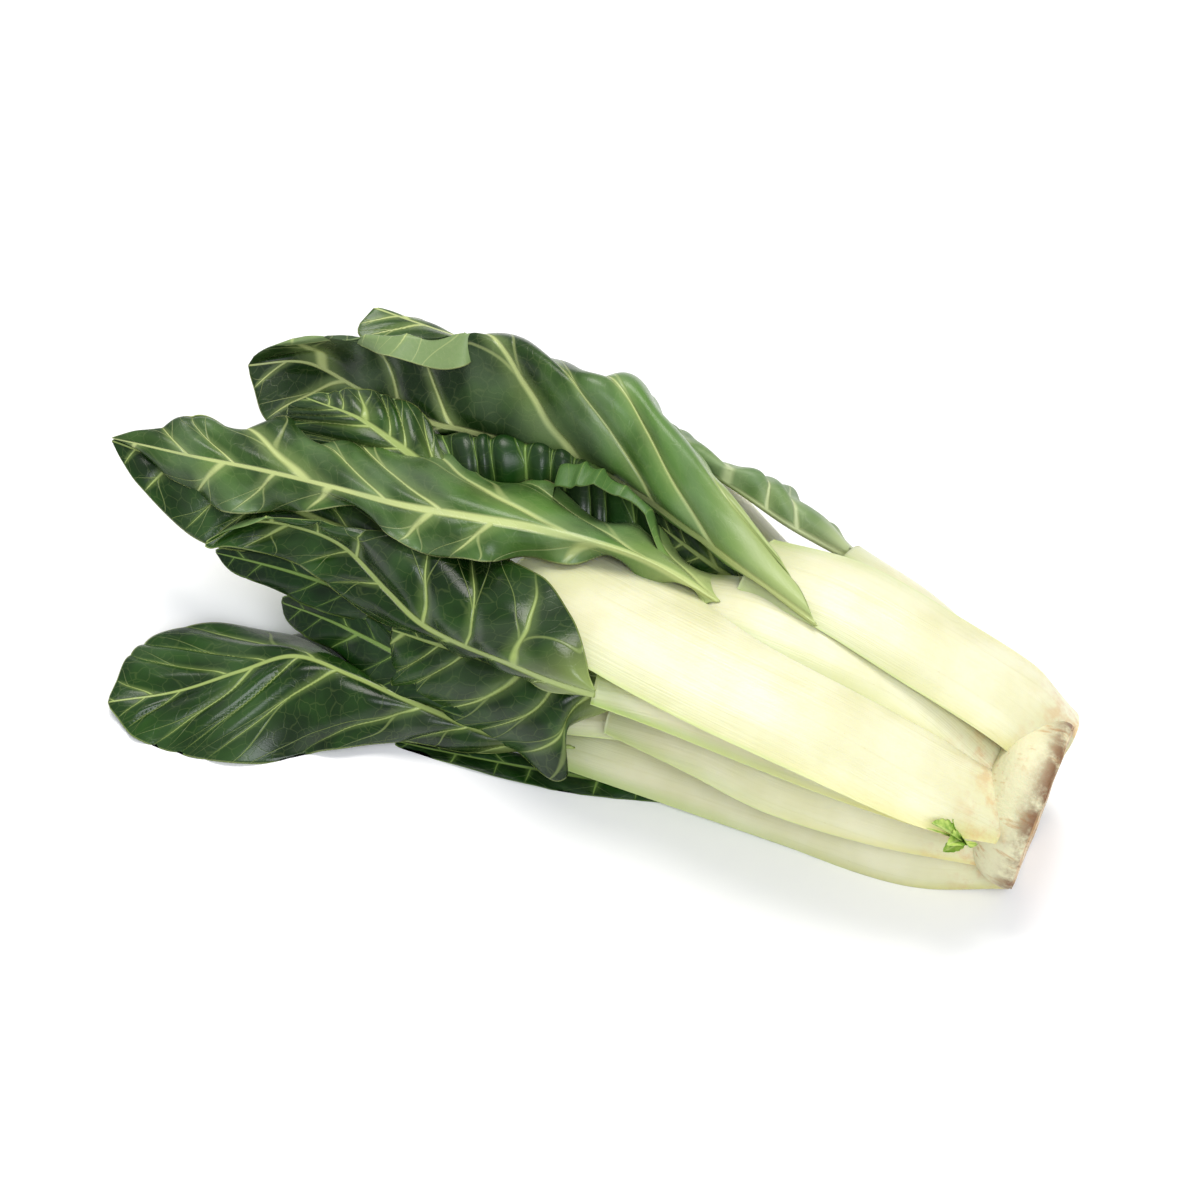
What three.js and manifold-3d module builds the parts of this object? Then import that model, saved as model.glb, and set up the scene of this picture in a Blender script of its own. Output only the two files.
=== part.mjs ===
// A head of Swiss chard lying on its side: broad white stalks spread from a cut
// crown at +X, each one carrying a folded or rolled leaf blade toward -X.
// Lengths are in millimetres, angles in degrees, and +Z is up.
import * as THREE from "three";
import { mergeVertices } from "three/addons/utils/BufferGeometryUtils.js";
import Module from "manifold-3d";

const BLADE_THICKNESS = 1; // a blade with its fine veins
const CLEARANCE = 0.35; // gap left where two pieces would meet
const CROWN_CENTRE = [219, 6, 37]; // middle of the cut face
const CROWN_NORMAL = [0.978, 0.176, -0.114]; // the way the cut face looks
const CROWN_RINGS = [
  // distance behind the cut face, radius
  [24, 24],
  [17, 33],
  [9, 37.5],
  [2, 37.5],
  [0, 36],
];
const CROWN_SIDES = 28;
const STALK_STEPS = 9;
const STALK_SIDES = 4; // steps across half a stalk
const OFFSET = [-1.7, 13.6, 0]; // from the drafting origin to the middle of the box

// Each blade is a thin sheet laid over guide lines that run from its base to its
// tip. The guides go across the leaf from one margin to the other, and "rib"
// tells which of them is the midrib.
const BLADES = {
  top: {
    rib: 3,
    steps: [15, 9],
    guides: [
      [[49, 43, 78], [24, 60, 74], [-5, 73, 78], [-28, 80, 86], [-45, 67, 94], [-74, 65, 102],
        [-94, 55, 109], [-92, 29, 112], [-123, 22, 108], [-155, 23, 100], [-194, 15, 83]],
      [[53, 29, 104], [32, 36, 112], [5, 45, 120], [-18, 52, 126], [-37, 41, 128], [-69, 45, 126],
        [-91, 42, 123], [-100, 40, 120], [-129, 29, 112], [-158, 23, 102], [-194, 12, 86]],
      [[85, 14, 103], [53, 19, 107], [23, 26, 112], [-4, 33, 116], [-30, 30, 115], [-66, 32, 109],
        [-89, 31, 103], [-100, 29, 101], [-135, 26, 92], [-166, 25, 86], [-195, 10, 80]],
      [[109, -3, 96], [70, 4, 98], [38, 14, 94], [5, 24, 90], [-27, 27, 90], [-65, 21, 88],
        [-86, 18, 86], [-99, 15, 86], [-138, 18, 82], [-172, 22, 78], [-195, 8, 76]],
      [[104, 3, 90], [67, 13, 88], [34, 24, 83], [2, 34, 80], [-30, 36, 80], [-68, 27, 78],
        [-90, 22, 76], [-103, 17, 76], [-149, 12, 74], [-168, -8, 64], [-191, 0, 70]],
    ],
  },
  centre: {
    rib: 2,
    steps: [13, 7],
    guides: [
      [[60, 9, 76], [25, 22, 74], [-4, 16, 78], [-38, 12, 80], [-67, 8, 80], [-98, 6, 78],
        [-128, -9, 82], [-160, -21, 82], [-191, -37, 80], [-222, -58, 75]],
      [[63, -1, 84], [29, 0, 88], [0, -6, 92], [-34, -10, 94], [-63, -14, 94], [-94, -16, 92],
        [-126, -23, 90], [-160, -29, 86], [-191, -41, 82], [-222, -59, 75]],
      [[65, -8, 88], [31, -9, 94], [4, -15, 97], [-21, -22, 98], [-47, -31, 98], [-78, -39, 95],
        [-113, -43, 90], [-148, -47, 84], [-182, -54, 80], [-222, -60, 74]],
      [[58, -9, 84], [30, -7, 82], [8, -13, 84], [-14, -26, 84], [-37, -39, 84], [-61, -50, 84],
        [-98, -46, 86], [-131, -54, 72], [-164, -64, 66], [-209, -56, 72]],
    ],
  },
  front: {
    rib: 2,
    steps: [11, 7],
    guides: [
      [[43, -72, 82], [33, -64, 88], [17, -50, 91], [-8, -35, 86], [-42, -31, 80],
        [-64, -38, 80], [-85, -45, 78], [-110, -53, 76], [-138, -61, 70], [-160, -77, 58]],
      [[43, -73, 81], [29, -73, 87], [9, -67, 89], [-14, -59, 84], [-44, -54, 77],
        [-66, -54, 77], [-91, -52, 77], [-116, -55, 73], [-141, -62, 68], [-160, -77, 57]],
      [[43, -73, 78], [22, -76, 77], [-3, -75, 73], [-29, -70, 63], [-51, -67, 60],
        [-72, -61, 62], [-100, -53, 66], [-123, -54, 66], [-146, -60, 62], [-159, -77, 56]],
      [[42, -73, 74], [19, -74, 68], [-9, -67, 55], [-36, -66, 50], [-63, -65, 47],
        [-89, -66, 50], [-110, -64, 54], [-130, -67, 56], [-149, -73, 56], [-160, -80, 54]],
    ],
  },
  low: {
    rib: 1,
    steps: [9, 6],
    guides: [
      [[40, -44, 50], [23, -46, 54], [4, -48, 54], [-15, -50, 54], [-34, -53, 52],
        [-52, -57, 50], [-69, -64, 46]],
      [[42, -46, 48], [28, -52, 50], [11, -58, 50], [-9, -60, 49], [-28, -62, 48],
        [-47, -65, 47], [-67, -66, 44]],
      [[39, -47, 45], [26, -60, 39], [20, -68, 34], [-6, -70, 34], [-29, -72, 36],
        [-47, -74, 37], [-67, -69, 39]],
      [[36, -48, 42], [22, -64, 24], [26, -74, 10], [-5, -75, 12], [-33, -76, 16],
        [-50, -80, 20], [-67, -71, 32]],
    ],
  },
  floor: {
    rib: 2,
    steps: [11, 8],
    guides: [
      [[18, -53, 10], [-23, -55, 8], [-73, -54, 6], [-101, -57, 6], [-127, -67, 8],
        [-155, -86, 10], [-176, -107, 9], [-177, -135, 6]],
      [[21, -56, 12], [-15, -63, 11], [-61, -66, 13], [-89, -70, 14], [-116, -78, 17],
        [-139, -96, 16], [-160, -116, 11], [-174, -139, 6]],
      [[24, -59, 14], [-7, -72, 16], [-48, -82, 24], [-74, -86, 28], [-104, -89, 26],
        [-124, -104, 18], [-145, -123, 10], [-170, -143, 6]],
      [[20, -60, 10], [-10, -76, 12], [-46, -89, 18], [-70, -100, 20], [-94, -109, 17],
        [-118, -124, 12], [-143, -137, 7], [-168, -146, 4]],
      [[17, -61, 5], [-15, -77, 4], [-47, -92, 5], [-70, -109, 4], [-86, -125, 0],
        [-113, -141, 0], [-142, -149, 0], [-167, -149, 2]],
    ],
  },
  under: {
    rib: 1,
    steps: [7, 4],
    guides: [
      [[83, -40, 5], [46, -48, 3], [14, -60, 1], [-18, -74, 1], [-51, -87, 1]],
      [[86, -43, 4], [53, -55, 3], [20, -67, 2], [-14, -78, 1], [-51, -90, 1]],
      [[88, -46, 2], [62, -58, 0], [34, -71, 0], [0, -82, 0], [-53, -93, 0]],
    ],
  },
  roll: {
    rib: 3,
    steps: [7, 7],
    guides: [
      [[-14, 39, 78], [-37, 38, 80], [-57, 32, 80], [-76, 25, 80], [-100, 19, 72]],
      [[-12, 28, 90], [-35, 27, 92], [-55, 21, 92], [-74, 14, 92], [-98, 8, 84]],
      [[-12, 24, 85], [-32, 18, 86], [-50, 12, 86], [-67, 4, 86], [-85, -2, 81]],
      [[-15, 24, 72], [-32, 16, 70], [-48, 9, 70], [-64, 1, 70], [-82, -3, 70]],
    ],
  },
  round: {
    rib: 1,
    steps: [7, 6],
    guides: [
      [[-76, 0, 82], [-95, 11, 90], [-110, 14, 94], [-126, 10, 96], [-149, -4, 95]],
      [[-70, -12, 82], [-88, -9, 88], [-105, -8, 93], [-124, -7, 96], [-150, -8, 94]],
      [[-79, -15, 78], [-104, -17, 80], [-126, -21, 82], [-152, -21, 82], [-158, -12, 90]],
    ],
  },
  upright: {
    rib: 3,
    steps: [7, 7],
    guides: [
      [[34, 0, 84], [9, 14, 95], [-5, 11, 99], [-19, 6, 100], [-28, 5, 92]],
      [[34, 4, 84], [9, 19, 94], [-7, 21, 97], [-24, 20, 98], [-32, 15, 92]],
      [[40, 4, 76], [16, 14, 80], [-4, 16, 80], [-21, 16, 81], [-32, 13, 80]],
      [[46, 4, 68], [25, 5, 70], [3, 5, 70], [-16, 7, 70], [-32, 10, 70]],
    ],
  },
  small: {
    rib: 1,
    steps: [7, 4],
    guides: [
      [[94, 23, 68], [68, 30, 72], [47, 30, 76], [28, 31, 78], [8, 29, 78]],
      [[92, 18, 66], [73, 18, 68], [52, 20, 70], [33, 22, 73], [9, 26, 76]],
      [[88, 17, 62], [70, 23, 66], [55, 20, 62], [32, 16, 66], [16, 24, 72]],
    ],
  },
  back: {
    rib: 2,
    steps: [8, 5],
    guides: [
      [[86, 87, 38], [62, 83, 54], [41, 84, 61], [23, 80, 63], [-12, 87, 62], [-44, 96, 56]],
      [[90, 65, 68], [66, 61, 84], [45, 62, 91], [27, 58, 93], [-8, 65, 92], [-40, 74, 86]],
      [[93, 58, 66], [66, 50, 80], [40, 51, 86], [19, 53, 88], [-17, 61, 86], [-44, 70, 82]],
    ],
  },
  high: {
    rib: 1,
    steps: [8, 5],
    guides: [
      [[-5, 100, 40], [-58, 100, 40], [-103, 86, 56], [-132, 70, 76], [-157, 55, 95]],
      [[-1, 88, 60], [-52, 84, 70], [-99, 72, 82], [-130, 62, 90], [-155, 53, 96]],
      [[5, 68, 54], [-46, 60, 60], [-98, 54, 84], [-131, 39, 92], [-159, 36, 94]],
    ],
  },
  rear: {
    rib: 1,
    steps: [8, 5],
    guides: [
      [[-30, -18, 66], [-73, -24, 70], [-116, -32, 72], [-154, -40, 74], [-189, -48, 74],
        [-222, -54, 74]],
      [[-24, -28, 60], [-67, -35, 64], [-106, -44, 66], [-143, -48, 68], [-183, -54, 70],
        [-222, -60, 72]],
      [[-23, -38, 50], [-67, -43, 52], [-109, -52, 52], [-143, -67, 50], [-170, -75, 54],
        [-214, -66, 67]],
    ],
  },
  dark: {
    rib: 1,
    steps: [7, 4],
    guides: [
      [[-19, -35, 50], [-57, -42, 54], [-94, -51, 56], [-126, -58, 54], [-161, -72, 48]],
      [[-13, -46, 44], [-50, -53, 48], [-87, -61, 50], [-122, -65, 48], [-158, -72, 46]],
      [[-16, -57, 38], [-50, -62, 40], [-88, -68, 40], [-125, -71, 38], [-153, -75, 42]],
    ],
  },
  shaded: {
    rib: 1,
    steps: [7, 4],
    guides: [
      [[2, -53, 34], [-30, -59, 40], [-65, -63, 42], [-95, -65, 42], [-126, -70, 36]],
      [[7, -61, 28], [-25, -68, 32], [-60, -71, 36], [-92, -71, 36], [-124, -71, 32]],
      [[1, -67, 20], [-30, -77, 22], [-61, -82, 22], [-93, -78, 24], [-122, -75, 26]],
    ],
  },
  far: {
    rib: 1,
    steps: [8, 6],
    guides: [
      [[92, 74, 10], [42, 100, 4], [-18, 118, 0], [-76, 122, 0], [-128, 100, 2]],
      [[90, 62, 20], [40, 78, 18], [-20, 92, 14], [-80, 98, 12], [-130, 92, 8]],
      [[88, 48, 24], [36, 52, 26], [-24, 60, 24], [-84, 66, 20], [-132, 84, 10]],
    ],
  },
};

// Each stalk is a shallow gutter that narrows to thin wings: "turn" is how far
// its outer face turns from one wing to the other, and "roll" leans that face.
const STALKS = {
  top: {
    path: [[220, 25, 62], [196, 22, 80], [152, 18, 94], [108, 19, 98], [67, 18, 93]],
    width: [48, 50, 48, 44, 34],
    depth: [14, 13, 12, 11, 4],
    turn: [-100, -80, -70, -60, -60],
    roll: [0, 0],
  },
  centre: {
    path: [[211, -12, 58], [181, -23, 73], [131, -30, 88], [80, -33, 92], [38, -31, 90],
      [3, -26, 84], [-25, -22, 76]],
    width: [46, 62, 72, 74, 72, 66, 50],
    depth: [15, 15, 14, 13, 11, 9, 4],
    turn: [-120, -90, -80, -70, -60, -60, -60],
    roll: [5, 5],
  },
  low: {
    path: [[205, -22, 36], [162, -36, 40], [119, -46, 45], [81, -48, 46], [36, -51, 38]],
    width: [30, 34, 36, 32, 18],
    depth: [12, 12, 11, 10, 4],
    turn: [-90, -80, -70, -60, -60],
    roll: [-45, -30],
  },
  floor: {
    path: [[214, -16, 20], [174, -33, 17], [120, -41, 16], [67, -49, 15], [15, -58, 14]],
    width: [36, 38, 34, 30, 26],
    depth: [12, 12, 11, 10, 4],
    turn: [-110, -100, -90, -70, -60],
    roll: [-50, -30],
  },
  second: {
    path: [[200, 4, 60], [160, 4, 81], [117, -1, 91], [74, -3, 90], [38, -4, 76]],
    width: [34, 38, 38, 34, 28],
    depth: [10, 10, 9, 8, 4],
    turn: [-80, -70, -60, -50, -50],
    roll: [0, 0],
  },
  front: {
    path: [[188, -26, 46], [149, -38, 57], [108, -47, 64], [70, -57, 72], [40, -69, 77]],
    width: [20, 24, 24, 22, 14],
    depth: [9, 9, 9, 8, 4],
    turn: [-80, -70, -60, -60, -60],
    roll: [-30, -30],
  },
  far: {
    path: [[207, 26, 18], [172, 42, 17], [130, 54, 20], [94, 62, 22]],
    width: [42, 42, 36, 24],
    depth: [12, 12, 11, 4],
    turn: [-100, -90, -80, -60],
    roll: [50, 25],
  },
  back: {
    path: [[212, 40, 44], [176, 52, 54], [132, 62, 64], [92, 64, 70]],
    width: [36, 36, 34, 30],
    depth: [11, 11, 10, 4],
    turn: [-90, -80, -70, -60],
    roll: [60, 35],
  },
  high: {
    path: [[194, 22, 38], [150, 34, 42], [92, 50, 48], [40, 68, 54], [4, 84, 56]],
    width: [24, 26, 26, 24, 22],
    depth: [9, 9, 8, 8, 4],
    turn: [-70, -60, -60, -60, -60],
    roll: [40, 30],
  },
  rear: {
    path: [[190, -6, 46], [140, -12, 54], [80, -20, 60], [20, -26, 62], [-22, -28, 60]],
    width: [22, 26, 26, 24, 20],
    depth: [8, 9, 8, 8, 4],
    turn: [-60, -60],
    roll: [-10, -10],
  },
  dark: {
    path: [[192, -10, 30], [140, -20, 36], [80, -30, 42], [30, -40, 44], [-10, -46, 44]],
    width: [22, 26, 26, 24, 20],
    depth: [8, 9, 8, 8, 4],
    turn: [-60, -60],
    roll: [-20, -20],
  },
  shaded: {
    path: [[196, 4, 20], [140, -8, 22], [90, -22, 26], [50, -38, 30], [10, -58, 30]],
    width: [26, 30, 28, 24, 20],
    depth: [9, 9, 8, 8, 4],
    turn: [-60, -60],
    roll: [-20, -20],
  },
  round: {
    path: [[186, 6, 56], [130, 4, 64], [60, 0, 70], [0, -6, 76], [-68, -12, 81]],
    width: [14, 16, 16, 14, 12],
    depth: [6, 7, 7, 6, 4],
    turn: [-50, -50],
    roll: [0, 0],
  },
  roll: {
    path: [[186, 18, 52], [130, 24, 60], [70, 30, 62], [20, 30, 64], [-14, 27, 66]],
    width: [14, 16, 16, 14, 12],
    depth: [6, 7, 7, 6, 4],
    turn: [-50, -50],
    roll: [0, 0],
  },
};

// The young side shoot: leaflets that fan out from one point, given as
// [direction, length, half width].
const SPROUT_ROOT = [204, -42, 56];
const SPROUT_LEAFLETS = [
  [[-0.55, -0.5, 0.67], 22, 3.8],
  [[-0.9, -0.35, 0.3], 20, 3.8],
  [[-0.1, -0.7, 0.7], 16, 3.4],
  [[0.45, -0.45, 0.75], 14, 3],
  [[-0.35, -0.9, 0.2], 12, 2.4],
  [[-0.75, 0.1, 0.65], 11, 2.2],
];

const wasm = await Module();
wasm.setup();

// A Catmull-Rom value at t in 0..1 through evenly spaced numbers.
function along(values, t) {
  const x = THREE.MathUtils.clamp(t, 0, 1) * (values.length - 1);
  const i = Math.min(Math.floor(x), values.length - 2);
  const f = x - i;
  const last = values.length - 1;
  const p1 = values[i];
  const p2 = values[i + 1];
  const p0 = i > 0 ? values[i - 1] : 2 * p1 - p2;
  const p3 = i + 2 <= last ? values[i + 2] : 2 * p2 - p1;
  const slope = f * (p2 - p0);
  const bend = f * f * (2 * p0 - 5 * p1 + 4 * p2 - p3);
  const twist = f * f * f * (3 * p1 - p0 - 3 * p2 + p3);
  return p1 + (slope + bend + twist) / 2;
}

// The same through evenly spaced points.
function pointAlong(points, t) {
  const axis = (k) => along(points.map((p) => p[k]), t);
  return new THREE.Vector3(axis(0), axis(1), axis(2));
}

// A closed geometry from vectors and triangles, turned to face outward.
function closedGeometry(points, triangles) {
  const floored = points.map((p) => [p.x, p.y, Math.max(p.z, 0)]);
  const flat = new Float32Array(floored.flat());
  const index = triangles.flat();
  let volume = 0;
  for (let i = 0; i < index.length; i += 3) {
    const [a, b, c] = [0, 1, 2].map((k) => points[index[i + k]]);
    volume += a.dot(b.clone().cross(c)) / 6;
  }
  const geometry = new THREE.BufferGeometry();
  geometry.setAttribute("position", new THREE.BufferAttribute(flat, 3));
  geometry.setIndex(volume < 0 ? index.reverse() : index);
  return geometry;
}

// A thin sheet over the guides: a grid of points through them, and its copy half
// a thickness to either side, joined round the margin. "grow" pads every side.
function sheet({ guides, steps: [rows, columns] }, grow) {
  const lift = BLADE_THICKNESS / 2 + grow;
  const grid = [];
  for (let i = 0; i <= rows; i++) {
    const section = guides.map((guide) => pointAlong(guide, i / rows).toArray());
    grid.push(
      Array.from({ length: columns + 1 }, (_, j) => pointAlong(section, j / columns)),
    );
  }
  const at = (i, j) =>
    grid[THREE.MathUtils.clamp(i, 0, rows)][THREE.MathUtils.clamp(j, 0, columns)];
  const points = [[], []];
  for (let i = 0; i <= rows; i++)
    for (let j = 0; j <= columns; j++) {
      const lengthwise = at(i + 1, j).clone().sub(at(i - 1, j)).normalize();
      const across = at(i, j + 1).clone().sub(at(i, j - 1)).normalize();
      const normal = lengthwise.clone().cross(across).normalize();
      const edge = at(i, j).clone();
      if (j === 0) edge.addScaledVector(across, -grow);
      if (j === columns) edge.addScaledVector(across, grow);
      if (i === 0) edge.addScaledVector(lengthwise, -grow);
      if (i === rows) edge.addScaledVector(lengthwise, grow);
      edge.z = Math.max(edge.z, lift);
      points[0].push(edge.clone().addScaledVector(normal, lift));
      points[1].push(edge.clone().addScaledVector(normal, -lift));
    }
  const width = columns + 1;
  const count = points[0].length;
  const triangles = [];
  for (let i = 0; i < rows; i++)
    for (let j = 0; j < columns; j++) {
      const [a, b, c, d] = [i * width + j, i * width + j + 1, (i + 1) * width + j + 1,
        (i + 1) * width + j];
      triangles.push([a, b, c], [a, c, d]);
      triangles.push([a + count, c + count, b + count], [a + count, d + count, c + count]);
    }
  const rim = [];
  for (let j = 0; j < columns; j++) rim.push(j);
  for (let i = 0; i < rows; i++) rim.push(i * width + columns);
  for (let j = columns; j > 0; j--) rim.push(rows * width + j);
  for (let i = rows; i > 0; i--) rim.push(i * width);
  rim.forEach((a, k) => {
    const b = rim[(k + 1) % rim.length];
    triangles.push([a, a + count, b + count], [a, b + count, b]);
  });
  return closedGeometry([...points[0], ...points[1]], triangles);
}

// A gutter lofted along its path: an arched outer face, and an inner face that
// lies under it by the depth in the middle and meets it at the wings.
function gutter({ path, width, depth, turn, roll }, grow) {
  const points = [];
  const triangles = [];
  const up = new THREE.Vector3(0, 0, 1);
  const around = 4 * STALK_SIDES;
  for (let i = 0; i <= STALK_STEPS; i++) {
    const t = i / STALK_STEPS;
    const centre = pointAlong(path, t);
    const ahead = pointAlong(path, Math.min(t + 0.01, 1));
    const behind = pointAlong(path, Math.max(t - 0.01, 0));
    const tangent = ahead.sub(behind).normalize();
    if (i === 0) centre.addScaledVector(tangent, -grow);
    if (i === STALK_STEPS) centre.addScaledVector(tangent, grow);
    const side = up.clone().cross(tangent).normalize();
    side.applyAxisAngle(tangent, THREE.MathUtils.degToRad(along(roll, t)));
    const normal = tangent.clone().cross(side);
    const radians = THREE.MathUtils.degToRad(along(turn, t));
    const radius = along(width, t) / -radians;
    const spread = -radians / 2 + grow / radius;
    const ring = [];
    for (let k = 0; k < around; k++) {
      const u = k <= around / 2 ? 1 - (4 * k) / around : (4 * k) / around - 3;
      const profile = Math.sqrt(Math.max(1 - u * u, 0));
      const inner = k > 0 && k < around / 2 ? 0 : along(depth, t) * profile + grow;
      const reach = k > 0 && k < around / 2 ? radius + grow : radius - inner;
      const angle = spread * u;
      ring.push(
        centre
          .clone()
          .addScaledVector(normal, reach * Math.cos(angle) - radius)
          .addScaledVector(side, reach * Math.sin(angle)),
      );
    }
    points.push(...ring);
  }
  for (let i = 0; i < STALK_STEPS; i++)
    for (let k = 0; k < around; k++) {
      const [a, b] = [i * around + k, i * around + ((k + 1) % around)];
      triangles.push([a, b, b + around], [a, b + around, a + around]);
    }
  capRings(triangles, around, STALK_STEPS);
  return closedGeometry(points, triangles);
}

// Flat caps over the first and the last ring, as strips across the ring.
function capRings(triangles, around, steps) {
  const last = steps * around;
  for (let k = 0; k < around / 2; k++) {
    const [a, b] = [k, k + 1];
    const [c, d] = [(around - k - 1) % around, (around - k) % around];
    if (k > 0) triangles.push([a, d, b], [last + a, last + b, last + d]);
    if (c !== b) triangles.push([b, d, c], [last + b, last + c, last + d]);
  }
}

// The crown: rings round the plant's axis, flattened where it meets the ground,
// closed by a flat cut face and a blunt inner end.
function crownSolid(grow) {
  const axis = new THREE.Vector3(...CROWN_NORMAL).normalize();
  const side = new THREE.Vector3(0, 0, 1).cross(axis).normalize();
  const rise = axis.clone().cross(side);
  const points = [];
  const triangles = [];
  const ends = [grow, ...Array(CROWN_RINGS.length - 2).fill(0), -grow];
  CROWN_RINGS.forEach(([behind, radius], i) => {
    const centre = new THREE.Vector3(...CROWN_CENTRE).addScaledVector(axis, -behind - ends[i]);
    for (let k = 0; k < CROWN_SIDES; k++) {
      const angle = (2 * Math.PI * k) / CROWN_SIDES;
      const lobed = (radius + grow) * (1 + 0.03 * Math.cos(3 * angle + 0.6));
      points.push(
        centre
          .clone()
          .addScaledVector(side, lobed * Math.cos(angle))
          .addScaledVector(rise, lobed * Math.sin(angle)),
      );
    }
  });
  for (let i = 0; i + 1 < CROWN_RINGS.length; i++)
    for (let k = 0; k < CROWN_SIDES; k++) {
      const [a, b] = [i * CROWN_SIDES + k, i * CROWN_SIDES + ((k + 1) % CROWN_SIDES)];
      triangles.push([a, b, b + CROWN_SIDES], [a, b + CROWN_SIDES, a + CROWN_SIDES]);
    }
  const last = (CROWN_RINGS.length - 1) * CROWN_SIDES;
  for (let k = 1; k + 1 < CROWN_SIDES; k++)
    triangles.push([0, k + 1, k], [last, last + k, last + k + 1]);
  return closedGeometry(points, triangles);
}

// One leaflet of the side shoot: a pointed spindle, twice as wide as thick.
function leaflet([direction, length, half]) {
  const geometry = new THREE.SphereGeometry(1, 6, 5);
  geometry.scale(half, length / 2 + 1, half / 2);
  geometry.translate(0, length / 2 - 1, 0);
  const turn = new THREE.Quaternion().setFromUnitVectors(
    new THREE.Vector3(0, 1, 0),
    new THREE.Vector3(...direction).normalize(),
  );
  geometry.applyQuaternion(turn);
  geometry.translate(...SPROUT_ROOT);
  return geometry;
}

// A geometry as a solid that can be joined and cut.
function solidOf(geometry) {
  const bare = geometry.clone();
  bare.deleteAttribute("normal");
  bare.deleteAttribute("uv");
  const merged = mergeVertices(bare, 1e-4);
  return new wasm.Manifold(
    new wasm.Mesh({
      numProp: 3,
      vertProperties: new Float32Array(merged.attributes.position.array),
      triVerts: new Uint32Array(merged.index.array),
    }),
  );
}

// The largest separate body of a solid.
function largest(solid) {
  const bodies = solid.decompose();
  return bodies.reduce((best, body) => (body.volume() > best.volume() ? body : best));
}

// Whether two solids' boxes meet.
function near(one, other) {
  const [a, b] = [one.boundingBox(), other.boundingBox()];
  return [0, 1, 2].every((k) => a.min[k] <= b.max[k] && b.min[k] <= a.max[k]);
}

const sprout = SPROUT_LEAFLETS.map((entry) => solidOf(leaflet(entry)));
sprout.push(solidOf(new THREE.SphereGeometry(2.6, 8, 6).translate(...SPROUT_ROOT)));

// In order of precedence: a piece gives way to every piece before it.
const stalk = (name) => ["stalk_" + name, (grow) => solidOf(gutter(STALKS[name], grow))];
const blade = (name) => ["blade_" + name, (grow) => solidOf(sheet(BLADES[name], grow))];
const PIECES = [
  ["crown", (grow) => solidOf(crownSolid(grow))],
  ...["top", "centre", "front", "low", "floor"].map(blade),
  ...["top", "centre", "low", "floor", "far", "back", "second", "front"].map(stalk),
  ...["rear", "dark", "shaded", "round", "upright", "roll", "small"].map(blade),
  ...["back", "high", "far", "under"].map(blade),
  ...["rear", "dark", "shaded", "high", "round", "roll"].map(stalk),
  ["sprout", () => sprout.reduce((all, one) => all.add(one))],
];

const STALK_COLOUR = 0xe9eac6;
const BLADE_COLOUR = 0x2d5528;
const CROWN_COLOUR = 0xd3bb95;
const SPROUT_COLOUR = 0x7d9d38;

function materialOf(name) {
  let color = STALK_COLOUR;
  if (name.startsWith("blade")) color = BLADE_COLOUR;
  if (name === "crown") color = CROWN_COLOUR;
  if (name === "sprout") color = SPROUT_COLOUR;
  return new THREE.MeshStandardMaterial({ color, roughness: 0.5, metalness: 0 });
}

// Cuts every piece by the pieces before it, padded by the clearance, and names
// what is left.
function head() {
  const group = new THREE.Group();
  group.name = "swiss_chard";
  const padded = [];
  for (const [name, make] of PIECES) {
    let solid = make(0);
    for (const other of padded) if (near(solid, other)) solid = solid.subtract(other);
    solid = largest(solid);
    if (name !== "sprout") padded.push(make(CLEARANCE).add(solid));
    const mesh = solid.getMesh();
    const geometry = new THREE.BufferGeometry();
    geometry.setAttribute("position", new THREE.BufferAttribute(mesh.vertProperties, 3));
    geometry.setIndex(new THREE.BufferAttribute(mesh.triVerts, 1));
    geometry.translate(...OFFSET);
    const node = new THREE.Mesh(geometry, materialOf(name));
    node.name = name;
    group.add(node);
  }
  return group;
}

export default head();
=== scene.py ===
"""A head of Swiss chard lying on a white table: broad white stalks, dark green leaves.

Lengths in the shape tables are millimetres in the drafting frame; meshes are metres
in the row frame. +X runs from the leaf tips towards the cut crown and +Z is up.
"""

import logging
import math
from dataclasses import dataclass, field
from enum import Enum

import bpy
import numpy as np
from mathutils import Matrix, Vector

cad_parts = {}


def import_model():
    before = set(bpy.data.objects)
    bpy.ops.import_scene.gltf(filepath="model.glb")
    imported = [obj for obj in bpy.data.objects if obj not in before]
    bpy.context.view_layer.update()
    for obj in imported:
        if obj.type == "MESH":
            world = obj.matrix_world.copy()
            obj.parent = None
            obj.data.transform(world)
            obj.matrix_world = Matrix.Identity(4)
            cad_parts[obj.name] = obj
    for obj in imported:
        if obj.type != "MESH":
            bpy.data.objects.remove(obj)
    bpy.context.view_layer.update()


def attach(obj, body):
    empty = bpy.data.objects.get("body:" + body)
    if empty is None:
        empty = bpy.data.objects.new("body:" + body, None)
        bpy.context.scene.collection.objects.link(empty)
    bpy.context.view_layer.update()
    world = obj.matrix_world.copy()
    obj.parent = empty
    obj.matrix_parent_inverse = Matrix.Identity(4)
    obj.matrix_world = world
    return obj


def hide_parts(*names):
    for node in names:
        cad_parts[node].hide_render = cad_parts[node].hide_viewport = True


LOG = logging.getLogger("chard")

MM = 0.001
# From the drafting origin of the shape tables to the middle of the head's box, in mm.
OFFSET = np.array([-1.7, 13.6, 0.0])
UP = np.array([0.0, 0.0, 1.0])

CROWN_CENTRE = np.array([219.0, 6.0, 37.0])
CROWN_NORMAL = np.array([0.978, 0.176, -0.114])

Guides = list[list[list[float]]]
Material = bpy.types.Material
Socket = bpy.types.NodeSocket


class Kind(Enum):
    """The kinds of piece on the head: leaf, stalk, crown and side shoot."""

    LEAF = "leaf"
    STALK = "stalk"
    CROWN = "crown"
    SPROUT = "sprout"


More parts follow.
